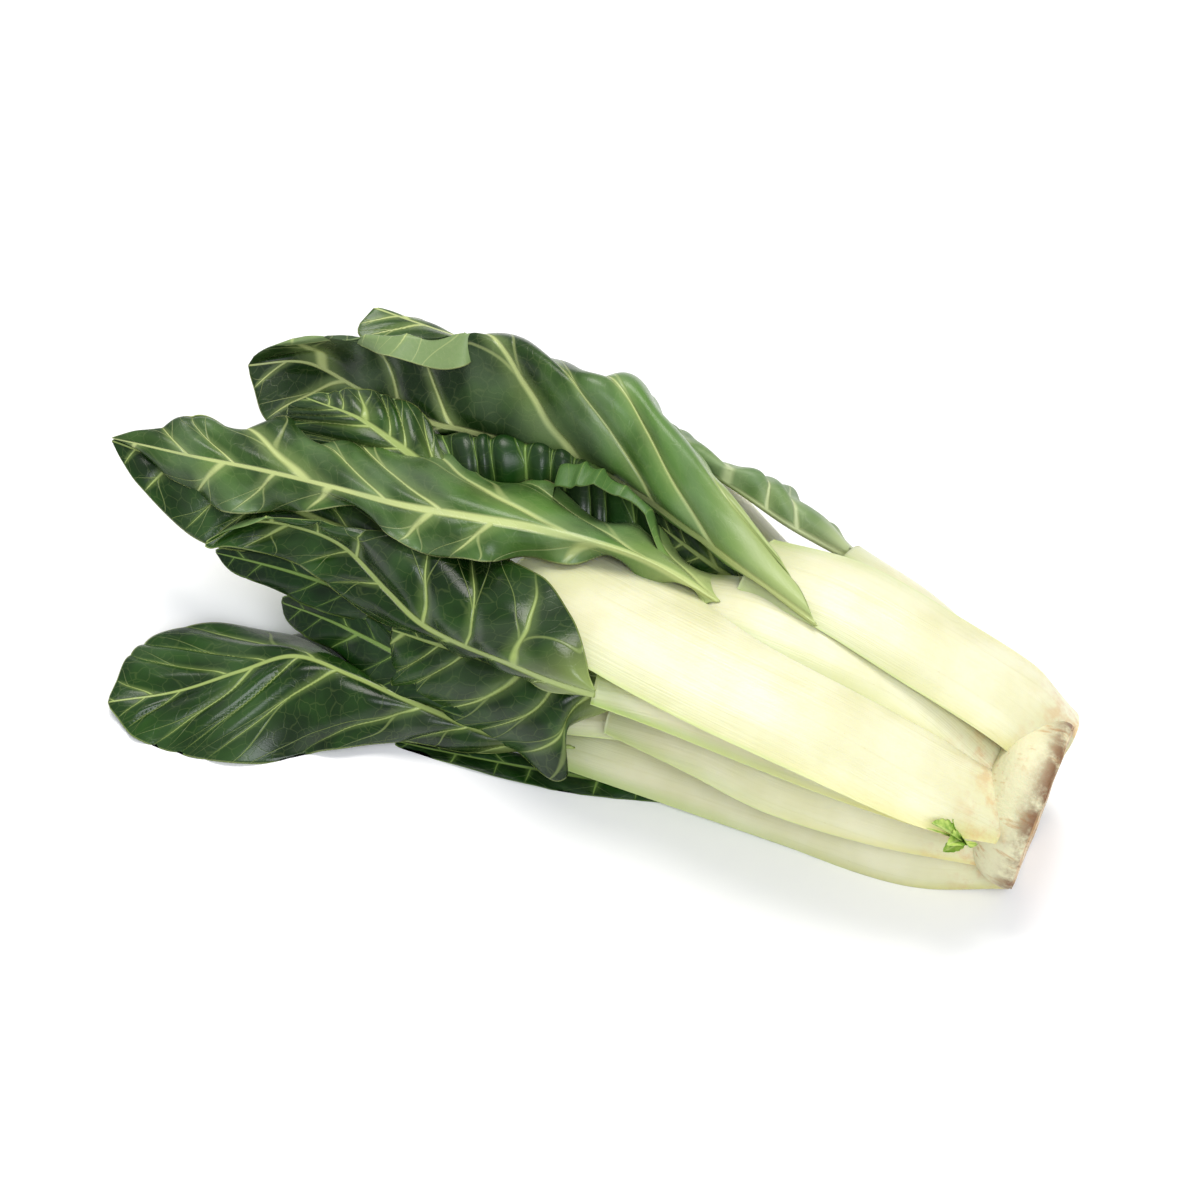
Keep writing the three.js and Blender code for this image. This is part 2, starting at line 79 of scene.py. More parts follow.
@dataclass(frozen=True)
class LeafFinish:
    """How one kind of leaf face looks.

    Args:
        name: what the material is on the real plant.
        dark: colour of the deepest green, as sRGB hex, and of painted shade.
        light: colour of the young or stretched green, and of painted light.
        vein: colour of the midrib and of the lateral veins.
        under: colour of the lower face.
        roughness: of the upper face.
        vein_width: half width of a lateral vein where it leaves the midrib, in mm.
        rib_width: half width of the midrib at the base, in mm.
        net: strength of the fine net of veins, 0 to 1.
    """

    name: str
    dark: str
    light: str
    vein: str
    under: str
    roughness: float = 0.38
    vein_width: float = 1.5
    rib_width: float = 4.0
    net: float = 0.35
    # Strength of the pale grey-green patches painted on the upper face as sheen, 0 to 1.
    painted_sheen_strength: float = 0.3


class Leaf(Enum):
    """The leaf finishes: by age and by which face is turned to the light."""

    GLOSSY = LeafFinish(
        "glossy mature leaf", "#061803", "#2f561a", "#a3b568", "#6f8a55",
        0.22, 1.7, 3.2, 0.06, 0.1,
    )
    MATTE = LeafFinish(
        "matte mature leaf", "#0a2204", "#587c3a", "#bfca84", "#7f9263",
        0.28, 3.4, 4.2, 0.05, 0.25,
    )
    DEEP = LeafFinish(
        "shaded inner leaf", "#051603", "#1c4710", "#7d9a4c", "#4f7038",
        0.3, 0.9, 2.6, 0.05, 0.05,
    )
    PALE = LeafFinish(
        "pale young leaf", "#44652f", "#748c56", "#c6cf9c", "#9fb57e",
        0.45, 2.2, 4.0, 0.08, 0.3,
    )


@dataclass(frozen=True)
class Blade:
    """One leaf blade: guide lines from base to tip, and how its surface is worked.

    Args:
        name: node name without its "blade_" start.
        guides: lines of points the sheet runs through, from one margin to the other.
        rib: which guide is the midrib.
        finish: the leaf's finish.
        veins: number of lateral veins on each side.
        slant: how far a lateral runs towards the tip for each mm it goes outward.
        sweep: how much more it bends towards the tip, per mm squared.
        quilt: height of the swelling between two laterals, in mm.
        ruffle: height, length and phase of the margin's waves, in mm and turns.
        tone: light and shade painted along the blade from base to tip, 0 dark to 1 light.
        step: size of one mesh cell, in mm.
        round_tip: share of the length over which the tip rounds off.
    """

    name: str
    guides: Guides
    rib: int
    finish: Leaf = Leaf.GLOSSY
    veins: float = 8.0
    slant: float = 0.8
    sweep: float = 0.003
    quilt: float = 1.2
    ruffle: tuple[float, float, float] = (1.0, 40.0, 0.0)
    tone: tuple[float, ...] = (0.5, 0.4, 0.3)
    step: float = 1.4
    round_tip: float = 0.05


@dataclass(frozen=True)
class Stalk:
    """One stalk: a shallow gutter along a path, thick in the middle, thin at its wings.

    Args:
        name: node name without its "stalk_" start.
        path: points on the middle of the outer face, from crown to blade.
        width: across the outer face along its arc.
        depth: thickness in the middle.
        turn: degrees the outer face turns from wing to wing.
        roll: degrees the face leans about the path.
        green: how green the wings are at the crown end and at the blade end.
        step: size of one mesh cell, in mm.
    """

    name: str
    path: list[list[float]]
    width: list[float]
    depth: list[float]
    turn: list[float]
    roll: list[float]
    green: tuple[float, float] = (0.0, 0.5)
    step: float = 2.0


@dataclass
class MeshData:
    """Points in mm, faces, and one value for each point of every named attribute."""

    points: np.ndarray
    faces: list[np.ndarray] = field(default_factory=list)
    values: dict[str, np.ndarray] = field(default_factory=dict)

BLADES = [
    Blade(
        "top",
        [
            [[49, 43, 78], [24, 60, 74], [-5, 73, 78], [-28, 80, 86], [-45, 67, 94],
             [-74, 65, 102], [-94, 55, 109], [-92, 29, 112], [-123, 22, 108], [-155, 23, 100],
             [-194, 15, 83]],
            [[53, 29, 104], [32, 36, 112], [5, 45, 120], [-18, 52, 126], [-37, 41, 128],
             [-69, 45, 126], [-91, 42, 123], [-100, 40, 120], [-129, 29, 112], [-158, 23, 102],
             [-194, 12, 86]],
            [[85, 14, 103], [53, 19, 107], [23, 26, 112], [-4, 33, 116], [-30, 30, 115],
             [-66, 32, 109], [-89, 31, 103], [-100, 29, 101], [-135, 26, 92], [-166, 25, 86],
             [-195, 10, 80]],
            [[109, -3, 96], [70, 4, 98], [38, 14, 94], [5, 24, 90], [-27, 27, 90],
             [-65, 21, 88], [-86, 18, 86], [-99, 15, 86], [-138, 18, 82], [-172, 22, 78],
             [-195, 8, 76]],
            [[104, 3, 90], [67, 13, 88], [34, 24, 83], [2, 34, 80], [-30, 36, 80],
             [-68, 27, 78], [-90, 22, 76], [-103, 17, 76], [-149, 12, 74], [-168, -8, 64],
             [-191, 0, 70]],
        ],
        rib=3,
        finish=Leaf.MATTE,
        veins=6.0,
        slant=1.05,
        sweep=0.002,
        quilt=1.6,
        ruffle=(1.6, 44.0, 0.1),
        tone=(0.9, 0.85, 0.75, 0.3, 0.1, 0.1, 0.15),
        step=1.5,
    ),
    Blade(
        "centre",
        [
            [[60, 9, 76], [25, 22, 74], [-4, 16, 78], [-38, 12, 80], [-67, 8, 80], [-98, 6, 78],
             [-128, -9, 82], [-160, -21, 82], [-191, -37, 80], [-222, -58, 75]],
            [[63, -1, 84], [29, 0, 88], [0, -6, 92], [-34, -10, 94], [-63, -14, 94],
             [-94, -16, 92], [-126, -23, 90], [-160, -29, 86], [-191, -41, 82],
             [-222, -59, 75]],
            [[65, -8, 88], [31, -9, 94], [4, -15, 97], [-21, -22, 98], [-47, -31, 98],
             [-78, -39, 95], [-113, -43, 90], [-148, -47, 84], [-182, -54, 80],
             [-222, -60, 74]],
            [[58, -9, 84], [30, -7, 82], [8, -13, 84], [-14, -26, 84], [-37, -39, 84],
             [-61, -50, 84], [-98, -46, 86], [-131, -54, 72], [-164, -64, 66], [-209, -56, 72]],
        ],
        rib=2,
        finish=Leaf.MATTE,
        veins=7.0,
        slant=1.1,
        sweep=0.006,
        quilt=1.5,
        ruffle=(3.2, 42.0, 0.3),
        tone=(0.9, 0.8, 0.6, 0.4, 0.35, 0.4, 0.35),
        step=1.4,
    ),
    Blade(
        "front",
        [
            [[43, -72, 82], [33, -64, 88], [17, -50, 91], [-8, -35, 86], [-42, -31, 80],
             [-64, -38, 80], [-85, -45, 78], [-110, -53, 76], [-138, -61, 70], [-160, -77, 58]],
            [[43, -73, 81], [29, -73, 87], [9, -67, 89], [-14, -59, 84], [-44, -54, 77],
             [-66, -54, 77], [-91, -52, 77], [-116, -55, 73], [-141, -62, 68], [-160, -77, 57]],
            [[43, -73, 78], [22, -76, 77], [-3, -75, 73], [-29, -70, 63], [-51, -67, 60],
             [-72, -61, 62], [-100, -53, 66], [-123, -54, 66], [-146, -60, 62],
             [-159, -77, 56]],
            [[42, -73, 74], [19, -74, 68], [-9, -67, 55], [-36, -66, 50], [-63, -65, 47],
             [-89, -66, 50], [-110, -64, 54], [-130, -67, 56], [-149, -73, 56],
             [-160, -80, 54]],
        ],
        rib=2,
        finish=Leaf.GLOSSY,
        veins=6.0,
        slant=0.6,
        sweep=0.002,
        quilt=1.8,
        ruffle=(1.2, 42.0, 0.6),
        tone=(0.35, 0.25, 0.3, 0.4, 0.6),
        step=1.3,
    ),
    Blade(
        "low",
        [
            [[40, -44, 50], [23, -46, 54], [4, -48, 54], [-15, -50, 54], [-34, -53, 52],
             [-52, -57, 50], [-69, -64, 46]],
            [[42, -46, 48], [28, -52, 50], [11, -58, 50], [-9, -60, 49], [-28, -62, 48],
             [-47, -65, 47], [-67, -66, 44]],
            [[39, -47, 45], [26, -60, 39], [20, -68, 34], [-6, -70, 34], [-29, -72, 36],
             [-47, -74, 37], [-67, -69, 39]],
            [[36, -48, 42], [22, -64, 24], [26, -74, 10], [-5, -75, 12], [-33, -76, 16],
             [-50, -80, 20], [-67, -71, 32]],
        ],
        rib=1,
        finish=Leaf.GLOSSY,
        veins=5.0,
        slant=0.7,
        sweep=0.004,
        quilt=1.5,
        ruffle=(2.0, 36.0, 0.2),
        tone=(0.4, 0.4, 0.4),
        step=1.2,
    ),
    Blade(
        "floor",
        [
            [[18, -53, 10], [-23, -55, 8], [-73, -54, 6], [-101, -57, 6], [-127, -67, 8],
             [-155, -86, 10], [-176, -107, 9], [-177, -135, 6]],
            [[21, -56, 12], [-15, -63, 11], [-61, -66, 13], [-89, -70, 14], [-116, -78, 17],
             [-139, -96, 16], [-160, -116, 11], [-174, -139, 6]],
            [[24, -59, 14], [-7, -72, 16], [-48, -82, 24], [-74, -86, 28], [-104, -89, 26],
             [-124, -104, 18], [-145, -123, 10], [-170, -143, 6]],
            [[20, -60, 10], [-10, -76, 12], [-46, -89, 18], [-70, -100, 20], [-94, -109, 17],
             [-118, -124, 12], [-143, -137, 7], [-168, -146, 4]],
            [[17, -61, 5], [-15, -77, 4], [-47, -92, 5], [-70, -109, 4], [-86, -125, 0],
             [-113, -141, 0], [-142, -149, 0], [-167, -149, 2]],
        ],
        rib=2,
        finish=Leaf.GLOSSY,
        veins=7.0,
        slant=1.1,
        sweep=0.004,
        quilt=1.8,
        ruffle=(1.2, 55.0, 0.4),
        tone=(0.25, 0.25, 0.3, 0.4, 0.45),
        step=1.4,
        round_tip=0.1,
    ),
    Blade(
        "under",
        [
            [[83, -40, 5], [46, -48, 3], [14, -60, 1], [-18, -74, 1], [-51, -87, 1]],
            [[86, -43, 4], [53, -55, 3], [20, -67, 2], [-14, -78, 1], [-51, -90, 1]],
            [[88, -46, 2], [62, -58, 0], [34, -71, 0], [0, -82, 0], [-53, -93, 0]],
        ],
        rib=1,
        finish=Leaf.DEEP,
        veins=6.0,
        quilt=0.3,
        ruffle=(0.4, 30.0, 0.0),
        step=1.6,
    ),
    Blade(
        "roll",
        [
            [[-14, 39, 78], [-37, 38, 80], [-57, 32, 80], [-76, 25, 80], [-100, 19, 72]],
            [[-12, 28, 90], [-35, 27, 92], [-55, 21, 92], [-74, 14, 92], [-98, 8, 84]],
            [[-12, 24, 85], [-32, 18, 86], [-50, 12, 86], [-67, 4, 86], [-85, -2, 81]],
            [[-15, 24, 72], [-32, 16, 70], [-48, 9, 70], [-64, 1, 70], [-82, -3, 70]],
        ],
        rib=3,
        finish=Leaf.DEEP,
        veins=6.0,
        slant=0.05,
        sweep=0.0,
        quilt=2.0,
        ruffle=(0.8, 30.0, 0.0),
        step=1.4,
    ),
    Blade(
        "round",
        [
            [[-76, 0, 82], [-95, 11, 90], [-110, 14, 94], [-126, 10, 96], [-149, -4, 95]],
            [[-70, -12, 82], [-88, -9, 88], [-105, -8, 93], [-124, -7, 96], [-150, -8, 94]],
            [[-79, -15, 78], [-104, -17, 80], [-126, -21, 82], [-152, -21, 82],
             [-158, -12, 90]],
        ],
        rib=1,
        finish=Leaf.GLOSSY,
        veins=6.0,
        slant=0.7,
        quilt=1.6,
        ruffle=(1.2, 34.0, 0.5),
        tone=(0.4, 0.3, 0.35),
        step=1.4,
    ),
    Blade(
        "upright",
        [
            [[34, 0, 84], [9, 14, 95], [-5, 11, 99], [-19, 6, 100], [-28, 5, 92]],
            [[34, 4, 84], [9, 19, 94], [-7, 21, 97], [-24, 20, 98], [-32, 15, 92]],
            [[40, 4, 76], [16, 14, 80], [-4, 16, 80], [-21, 16, 81], [-32, 13, 80]],
            [[46, 4, 68], [25, 5, 70], [3, 5, 70], [-16, 7, 70], [-32, 10, 70]],
        ],
        rib=3,
        finish=Leaf.DEEP,
        veins=5.0,
        slant=0.1,
        sweep=0.0,
        quilt=1.6,
        ruffle=(1.2, 30.0, 0.3),
        step=1.3,
    ),
    Blade(
        "small",
        [
            [[94, 23, 68], [68, 30, 72], [47, 30, 76], [28, 31, 78], [8, 29, 78]],
            [[92, 18, 66], [73, 18, 68], [52, 20, 70], [33, 22, 73], [9, 26, 76]],
            [[88, 17, 62], [70, 23, 66], [55, 20, 62], [32, 16, 66], [16, 24, 72]],
        ],
        rib=1,
        finish=Leaf.GLOSSY,
        veins=5.0,
        quilt=1.2,
        ruffle=(1.2, 26.0, 0.3),
        step=1.3,
    ),
    Blade(
        "back",
        [
            [[86, 87, 38], [62, 83, 54], [41, 84, 61], [23, 80, 63], [-12, 87, 62],
             [-44, 96, 56]],
            [[90, 65, 68], [66, 61, 84], [45, 62, 91], [27, 58, 93], [-8, 65, 92],
             [-40, 74, 86]],
            [[93, 58, 66], [66, 50, 80], [40, 51, 86], [19, 53, 88], [-17, 61, 86],
             [-44, 70, 82]],
        ],
        rib=2,
        finish=Leaf.PALE,
        veins=6.0,
        slant=0.6,
        quilt=1.5,
        ruffle=(1.8, 30.0, 0.7),
        step=1.6,
    ),
    Blade(
        "high",
        [
            [[-5, 100, 40], [-58, 100, 40], [-103, 86, 56], [-132, 70, 76], [-157, 55, 95]],
            [[-1, 88, 60], [-52, 84, 70], [-99, 72, 82], [-130, 62, 90], [-155, 53, 96]],
            [[5, 68, 54], [-46, 60, 60], [-98, 54, 84], [-131, 39, 92], [-159, 36, 94]],
        ],
        rib=1,
        finish=Leaf.MATTE,
        veins=7.0,
        quilt=1.4,
        ruffle=(1.6, 44.0, 0.2),
        step=1.7,
    ),
    Blade(
        "rear",
        [
            [[-30, -18, 66], [-73, -24, 70], [-116, -32, 72], [-154, -40, 74], [-189, -48, 74],
             [-222, -54, 74]],
            [[-24, -28, 60], [-67, -35, 64], [-106, -44, 66], [-143, -48, 68], [-183, -54, 70],
             [-222, -60, 72]],
            [[-23, -38, 50], [-67, -43, 52], [-109, -52, 52], [-143, -67, 50], [-170, -75, 54],
             [-214, -66, 67]],
        ],
        rib=1,
        finish=Leaf.GLOSSY,
        veins=7.0,
        quilt=1.4,
        ruffle=(1.4, 50.0, 0.2),
        tone=(0.2, 0.3, 0.4),
        step=1.6,
    ),
    Blade(
        "dark",
        [
            [[-19, -35, 50], [-57, -42, 54], [-94, -51, 56], [-126, -58, 54], [-161, -72, 48]],
            [[-13, -46, 44], [-50, -53, 48], [-87, -61, 50], [-122, -65, 48], [-158, -72, 46]],
            [[-16, -57, 38], [-50, -62, 40], [-88, -68, 40], [-125, -71, 38], [-153, -75, 42]],
        ],
        rib=1,
        finish=Leaf.DEEP,
        veins=6.0,
        quilt=1.2,
        ruffle=(1.2, 44.0, 0.0),
        step=1.6,
    ),
    Blade(
        "shaded",
        [
            [[2, -53, 34], [-30, -59, 40], [-65, -63, 42], [-95, -65, 42], [-126, -70, 36]],
            [[7, -61, 28], [-25, -68, 32], [-60, -71, 36], [-92, -71, 36], [-124, -71, 32]],
            [[1, -67, 20], [-30, -77, 22], [-61, -82, 22], [-93, -78, 24], [-122, -75, 26]],
        ],
        rib=1,
        finish=Leaf.DEEP,
        veins=6.0,
        quilt=1.2,
        ruffle=(1.2, 44.0, 0.5),
        step=1.6,
    ),
    Blade(
        "far",
        [
            [[92, 74, 10], [42, 100, 4], [-18, 118, 0], [-76, 122, 0], [-128, 100, 2]],
            [[90, 62, 20], [40, 78, 18], [-20, 92, 14], [-80, 98, 12], [-130, 92, 8]],
            [[88, 48, 24], [36, 52, 26], [-24, 60, 24], [-84, 66, 20], [-132, 84, 10]],
        ],
        rib=1,
        finish=Leaf.GLOSSY,
        veins=8.0,
        quilt=1.4,
        ruffle=(1.2, 50.0, 0.4),
        step=1.8,
        round_tip=0.1,
    ),
]

STALKS = [
    Stalk(
        "top",
        [[220, 25, 62], [196, 22, 80], [152, 18, 94], [108, 19, 98], [67, 18, 93]],
        [48, 50, 48, 44, 34],
        [14, 13, 12, 11, 4],
        [-100, -80, -70, -60, -60],
        [0, 0],
        green=(0.0, 0.5),
        step=1.6,
    ),
    Stalk(
        "centre",
        [[211, -12, 58], [181, -23, 73], [131, -30, 88], [80, -33, 92], [38, -31, 90], [3, -26, 84], [-25, -22, 76]],
        [46, 62, 72, 74, 72, 66, 50],
        [15, 15, 14, 13, 11, 9, 4],
        [-120, -90, -80, -70, -60, -60, -60],
        [5, 5],
        green=(0.0, 0.45),
        step=1.6,
    ),
    Stalk(
        "low",
        [[205, -22, 36], [162, -36, 40], [119, -46, 45], [81, -48, 46], [36, -51, 38]],
        [30, 34, 36, 32, 18],
        [12, 12, 11, 10, 4],
        [-90, -80, -70, -60, -60],
        [-45, -30],
        green=(0.0, 0.6),
        step=1.8,
    ),
    Stalk(
        "floor",
        [[214, -16, 20], [174, -33, 17], [120, -41, 16], [67, -49, 15], [15, -58, 14]],
        [36, 38, 34, 30, 26],
        [12, 12, 11, 10, 4],
        [-110, -100, -90, -70, -60],
        [-50, -30],
        green=(0.1, 0.8),
        step=1.8,
    ),
    Stalk(
        "second",
        [[200, 4, 60], [160, 4, 81], [117, -1, 91], [74, -3, 90], [38, -4, 76]],
        [34, 38, 38, 34, 28],
        [10, 10, 9, 8, 4],
        [-80, -70, -60, -50, -50],
        [0, 0],
        green=(0.1, 0.7),
    ),
    Stalk(
        "front",
        [[188, -26, 46], [149, -38, 57], [108, -47, 64], [70, -57, 72], [40, -69, 77]],
        [20, 24, 24, 22, 14],
        [9, 9, 9, 8, 4],
        [-80, -70, -60, -60, -60],
        [-30, -30],
        green=(0.2, 1.0),
    ),
    Stalk(
        "far",
        [[207, 26, 18], [172, 42, 17], [130, 54, 20], [94, 62, 22]],
        [42, 42, 36, 24],
        [12, 12, 11, 4],
        [-100, -90, -80, -60],
        [50, 25],
    ),
    Stalk(
        "back",
        [[212, 40, 44], [176, 52, 54], [132, 62, 64], [92, 64, 70]],
        [36, 36, 34, 30],
        [11, 11, 10, 4],
        [-90, -80, -70, -60],
        [60, 35],
    ),
    Stalk(
        "high",
        [[194, 22, 38], [150, 34, 42], [92, 50, 48], [40, 68, 54], [4, 84, 56]],
        [24, 26, 26, 24, 22],
        [9, 9, 8, 8, 4],
        [-70, -60, -60, -60, -60],
        [40, 30],
        step=2.6,
    ),
    Stalk(
        "rear",
        [[190, -6, 46], [140, -12, 54], [80, -20, 60], [20, -26, 62], [-22, -28, 60]],
        [22, 26, 26, 24, 20],
        [8, 9, 8, 8, 4],
        [-60, -60],
        [-10, -10],
        step=2.6,
    ),
    Stalk(
        "dark",
        [[192, -10, 30], [140, -20, 36], [80, -30, 42], [30, -40, 44], [-10, -46, 44]],
        [22, 26, 26, 24, 20],
        [8, 9, 8, 8, 4],
        [-60, -60],
        [-20, -20],
        step=2.6,
    ),
    Stalk(
        "shaded",
        [[196, 4, 20], [140, -8, 22], [90, -22, 26], [50, -38, 30], [10, -58, 30]],
        [26, 30, 28, 24, 20],
        [9, 9, 8, 8, 4],
        [-60, -60],
        [-20, -20],
        step=2.6,
    ),
    Stalk(
        "round",
        [[186, 6, 56], [130, 4, 64], [60, 0, 70], [0, -6, 76], [-68, -12, 81]],
        [14, 16, 16, 14, 12],
        [6, 7, 7, 6, 4],
        [-50, -50],
        [0, 0],
        step=2.6,
    ),
    Stalk(
        "roll",
        [[186, 18, 52], [130, 24, 60], [70, 30, 62], [20, 30, 64], [-14, 27, 66]],
        [14, 16, 16, 14, 12],
        [6, 7, 7, 6, 4],
        [-50, -50],
        [0, 0],
        step=2.6,
    ),
]


def spline(values: np.ndarray, t: np.ndarray) -> np.ndarray:
    """A Catmull-Rom curve through evenly spaced values.

    Each span is the cubic that meets its two ends with slopes half the step between
    their neighbours; the end slopes are mirrored.

    Args:
        values: (n, ...) values, n at least 2.
        t: places from 0 at the first value to 1 at the last.
    Returns:
        The values at t, with t's shape first.
    """
    v = np.asarray(values, float)
    t = np.asarray(t, float)
    padded = np.concatenate([2 * v[:1] - v[1:2], v, 2 * v[-1:] - v[-2:-1]])
    x = np.clip(t, 0, 1) * (len(v) - 1)
    i = np.minimum(x.astype(int), len(v) - 2)
    f = (x - i).reshape(t.shape + (1,) * (v.ndim - 1))
    p0, p1, p2, p3 = (padded[i + k] for k in range(4))
    bend = 2 * p0 - 5 * p1 + 4 * p2 - p3
    twist = 3 * p1 - p0 - 3 * p2 + p3
    return p1 + 0.5 * f * (p2 - p0 + f * (bend + f * twist))


def unit(vectors: np.ndarray) -> np.ndarray:
    """The vectors scaled to length one."""
    length = np.linalg.norm(vectors, axis=-1, keepdims=True)
    return vectors / np.maximum(length, 1e-9)


def smooth(low: float, high: float, x: np.ndarray) -> np.ndarray:
    """A cubic step from 0 at low to 1 at high."""
    t = np.clip((x - low) / (high - low), 0, 1)
    return t * t * (3 - 2 * t)


def ripple(x: np.ndarray, y: np.ndarray, seed: float) -> np.ndarray:
    """A slow, uneven wave from about -1 to 1: a sum of four sines with unrelated periods."""
    total = np.sin(x + 1.3 * seed) * np.cos(0.7 * y + seed)
    total = total + 0.6 * np.sin(1.9 * x - 1.3 * y + 2.1 * seed)
    return (total + 0.4 * np.sin(3.1 * x + 2.3 * y + 0.7 * seed)) / 2


def lengths(points: np.ndarray, axis: int) -> np.ndarray:
    """Distance run along a grid of points in one direction, from 0."""
    steps = np.linalg.norm(np.diff(points, axis=axis), axis=-1)
    start = np.zeros_like(np.take(steps, [0], axis))
    return np.concatenate([start, np.cumsum(steps, axis)], axis)


def evenly(points: np.ndarray, count: int) -> np.ndarray:
    """Each row's polyline resampled to evenly spaced points.

    Args:
        points: (rows, fine, 3) polylines.
        count: points wanted in each row.
    Returns:
        (rows, count, 3).
    """
    run = lengths(points, 1)
    wanted = np.linspace(0, 1, count)
    rows = []
    for row, far in zip(points, run):
        share = far / max(far[-1], 1e-9)
        rows.append(np.stack([np.interp(wanted, share, row[:, k]) for k in range(3)], -1))
    return np.array(rows)


class Sheet:
    """The middle surface of a blade as a grid: rows along the midrib, columns across."""

    FINE = 24

    def __init__(self, blade: Blade) -> None:
        """Lays the grid over the guides and works its relief.

        Args:
            blade: the leaf blade.
        """
        self.blade = blade
        self.seed = sum(map(ord, blade.name)) % 17
        self._lay()
        self._measure()
        self._work()

    def _lay(self) -> None:
        """Rows evenly spaced along the midrib; columns evenly spaced on each side of it."""
        blade = self.blade
        guides = np.array(blade.guides, float)
        fine = np.linspace(0, 1, 400)
        run = lengths(spline(guides[blade.rib], fine), 0)
        self.length = float(run[-1])
        count = max(int(self.length / blade.step), 12) + 1
        t = np.interp(np.linspace(0, 1, count), run / run[-1], fine)
        lines = np.stack([spline(guide, t) for guide in guides])
        last = len(guides) - 1
        sides = []
        for low, high in ((0, blade.rib), (blade.rib, last)):
            if low == high:
                sides.append(None)
                continue
            places = np.linspace(low / last, high / last, self.FINE * (high - low) + 1)
            section = np.moveaxis(spline(lines, places), 0, 1)
            widest = lengths(section, 1)[:, -1].max()
            sides.append(evenly(section, max(int(widest / blade.step), 4) + 1))
        back, front = sides
        if back is None:
            self.points, self.rib = front, 0
        elif front is None:
            self.points, self.rib = back, back.shape[1] - 1
        else:
            self.points = np.concatenate([back[:, :-1], front], 1)
            self.rib = back.shape[1] - 1

    def _measure(self) -> None:
        """Distances over the sheet: along the midrib, out from it, and to the margin."""
        across = lengths(self.points, 1)
        self.out = np.abs(across - across[:, self.rib : self.rib + 1])
        back = across[:, self.rib]
        front = across[:, -1] - back
        side = np.arange(across.shape[1]) >= self.rib
        self.half = np.where(side[None, :], front[:, None], back[:, None])
        self.half = np.maximum(self.half, 0.5)
        self.along = np.broadcast_to(
            lengths(self.points[:, self.rib], 0)[:, None], self.out.shape
        )
        self.side = np.broadcast_to(np.where(side, 1.0, -1.0)[None, :], self.out.shape)
        self._round_ends()
        self.edge = np.maximum(self.half - self.out, 0)
        ends = np.minimum(self.along, self.length - self.along)
        self.edge = np.minimum(self.edge, ends + 0.4 * self.edge)

    def _round_ends(self) -> None:
        """Draws the margins in towards the midrib near the tip and, less, at the base, on
        quarter ellipses."""
        share = self.along / self.length
        into = np.clip((share - 1 + self.blade.round_tip) / self.blade.round_tip, 0, 1)
        start = 0.6 * np.clip(1 - share / 0.1, 0, 1)
        keep = np.sqrt(np.maximum(1 - into**2 - start**2, 0.0004))[:, :1]
        rib = self.points[:, self.rib : self.rib + 1]
        self.points = rib + (self.points - rib) * keep[..., None]
        self.out = self.out * keep
        self.half = self.half * keep

    def _phase(self) -> np.ndarray:
        """The lateral veins' phase: whole at each vein, which leaves the midrib at a slant
        and sweeps towards the tip, with a little unevenness."""
        blade = self.blade
        start = self.along - blade.slant * self.out - blade.sweep * self.out**2
        share = start / self.length
        phase = blade.veins * (share + 0.3 * share * np.abs(share)) / 1.15
        phase = phase + 0.22 * np.sin(2.3 * phase + self.seed + 0.9 * self.side)
        wander = ripple(self.along / 17, self.out / 13, self.seed)
        return phase + 0.04 * wander + 0.2 + 0.25 * (self.side + 1)

    def normals(self) -> np.ndarray:
        """Unit normals of the grid, up for a blade that lies face up."""
        rows = np.gradient(self.points, axis=0)
        columns = np.gradient(self.points, axis=1)
        return unit(np.cross(rows, columns))

    def _work(self) -> None:
        """Swells the sheet between the laterals, waves its margin and dents it slowly."""
        blade = self.blade
        normal = self.normals()
        self.phase = self._phase()
        share = np.clip(self.out / self.half, 0, 1)
        near = smooth(1.0, 9.0, self.out) * (1 - 0.55 * share**2)
        pillow = np.abs(np.sin(np.pi * self.phase)) ** 0.8 - 0.6
        tip = smooth(0, 0.12, 1 - self.along / self.length)
        height, wave, turn = blade.ruffle
        cycle = 2 * np.pi * (self.along / wave + turn)
        cycle = cycle + 0.6 * ripple(self.along / 23, self.side, self.seed)
        frill = height * share**3 * np.sin(cycle + 0.8 * self.side)
        dent = 0.8 * ripple(self.along / 26, self.out / 21, self.seed + 3)
        channel = -0.8 * np.exp(-((self.out / 4) ** 2))
        relief = 2.1 * blade.quilt * near * pillow + 1.3 * frill + 2.4 * dent * share + channel
        relief = tip * relief
        self.points = self.points + normal * relief[..., None]


def grid_faces(index: np.ndarray) -> np.ndarray:
    """Quads over a grid of point numbers."""
    corners = [index[:-1, :-1], index[:-1, 1:], index[1:, 1:], index[1:, :-1]]
    return np.stack([c.ravel() for c in corners], -1)


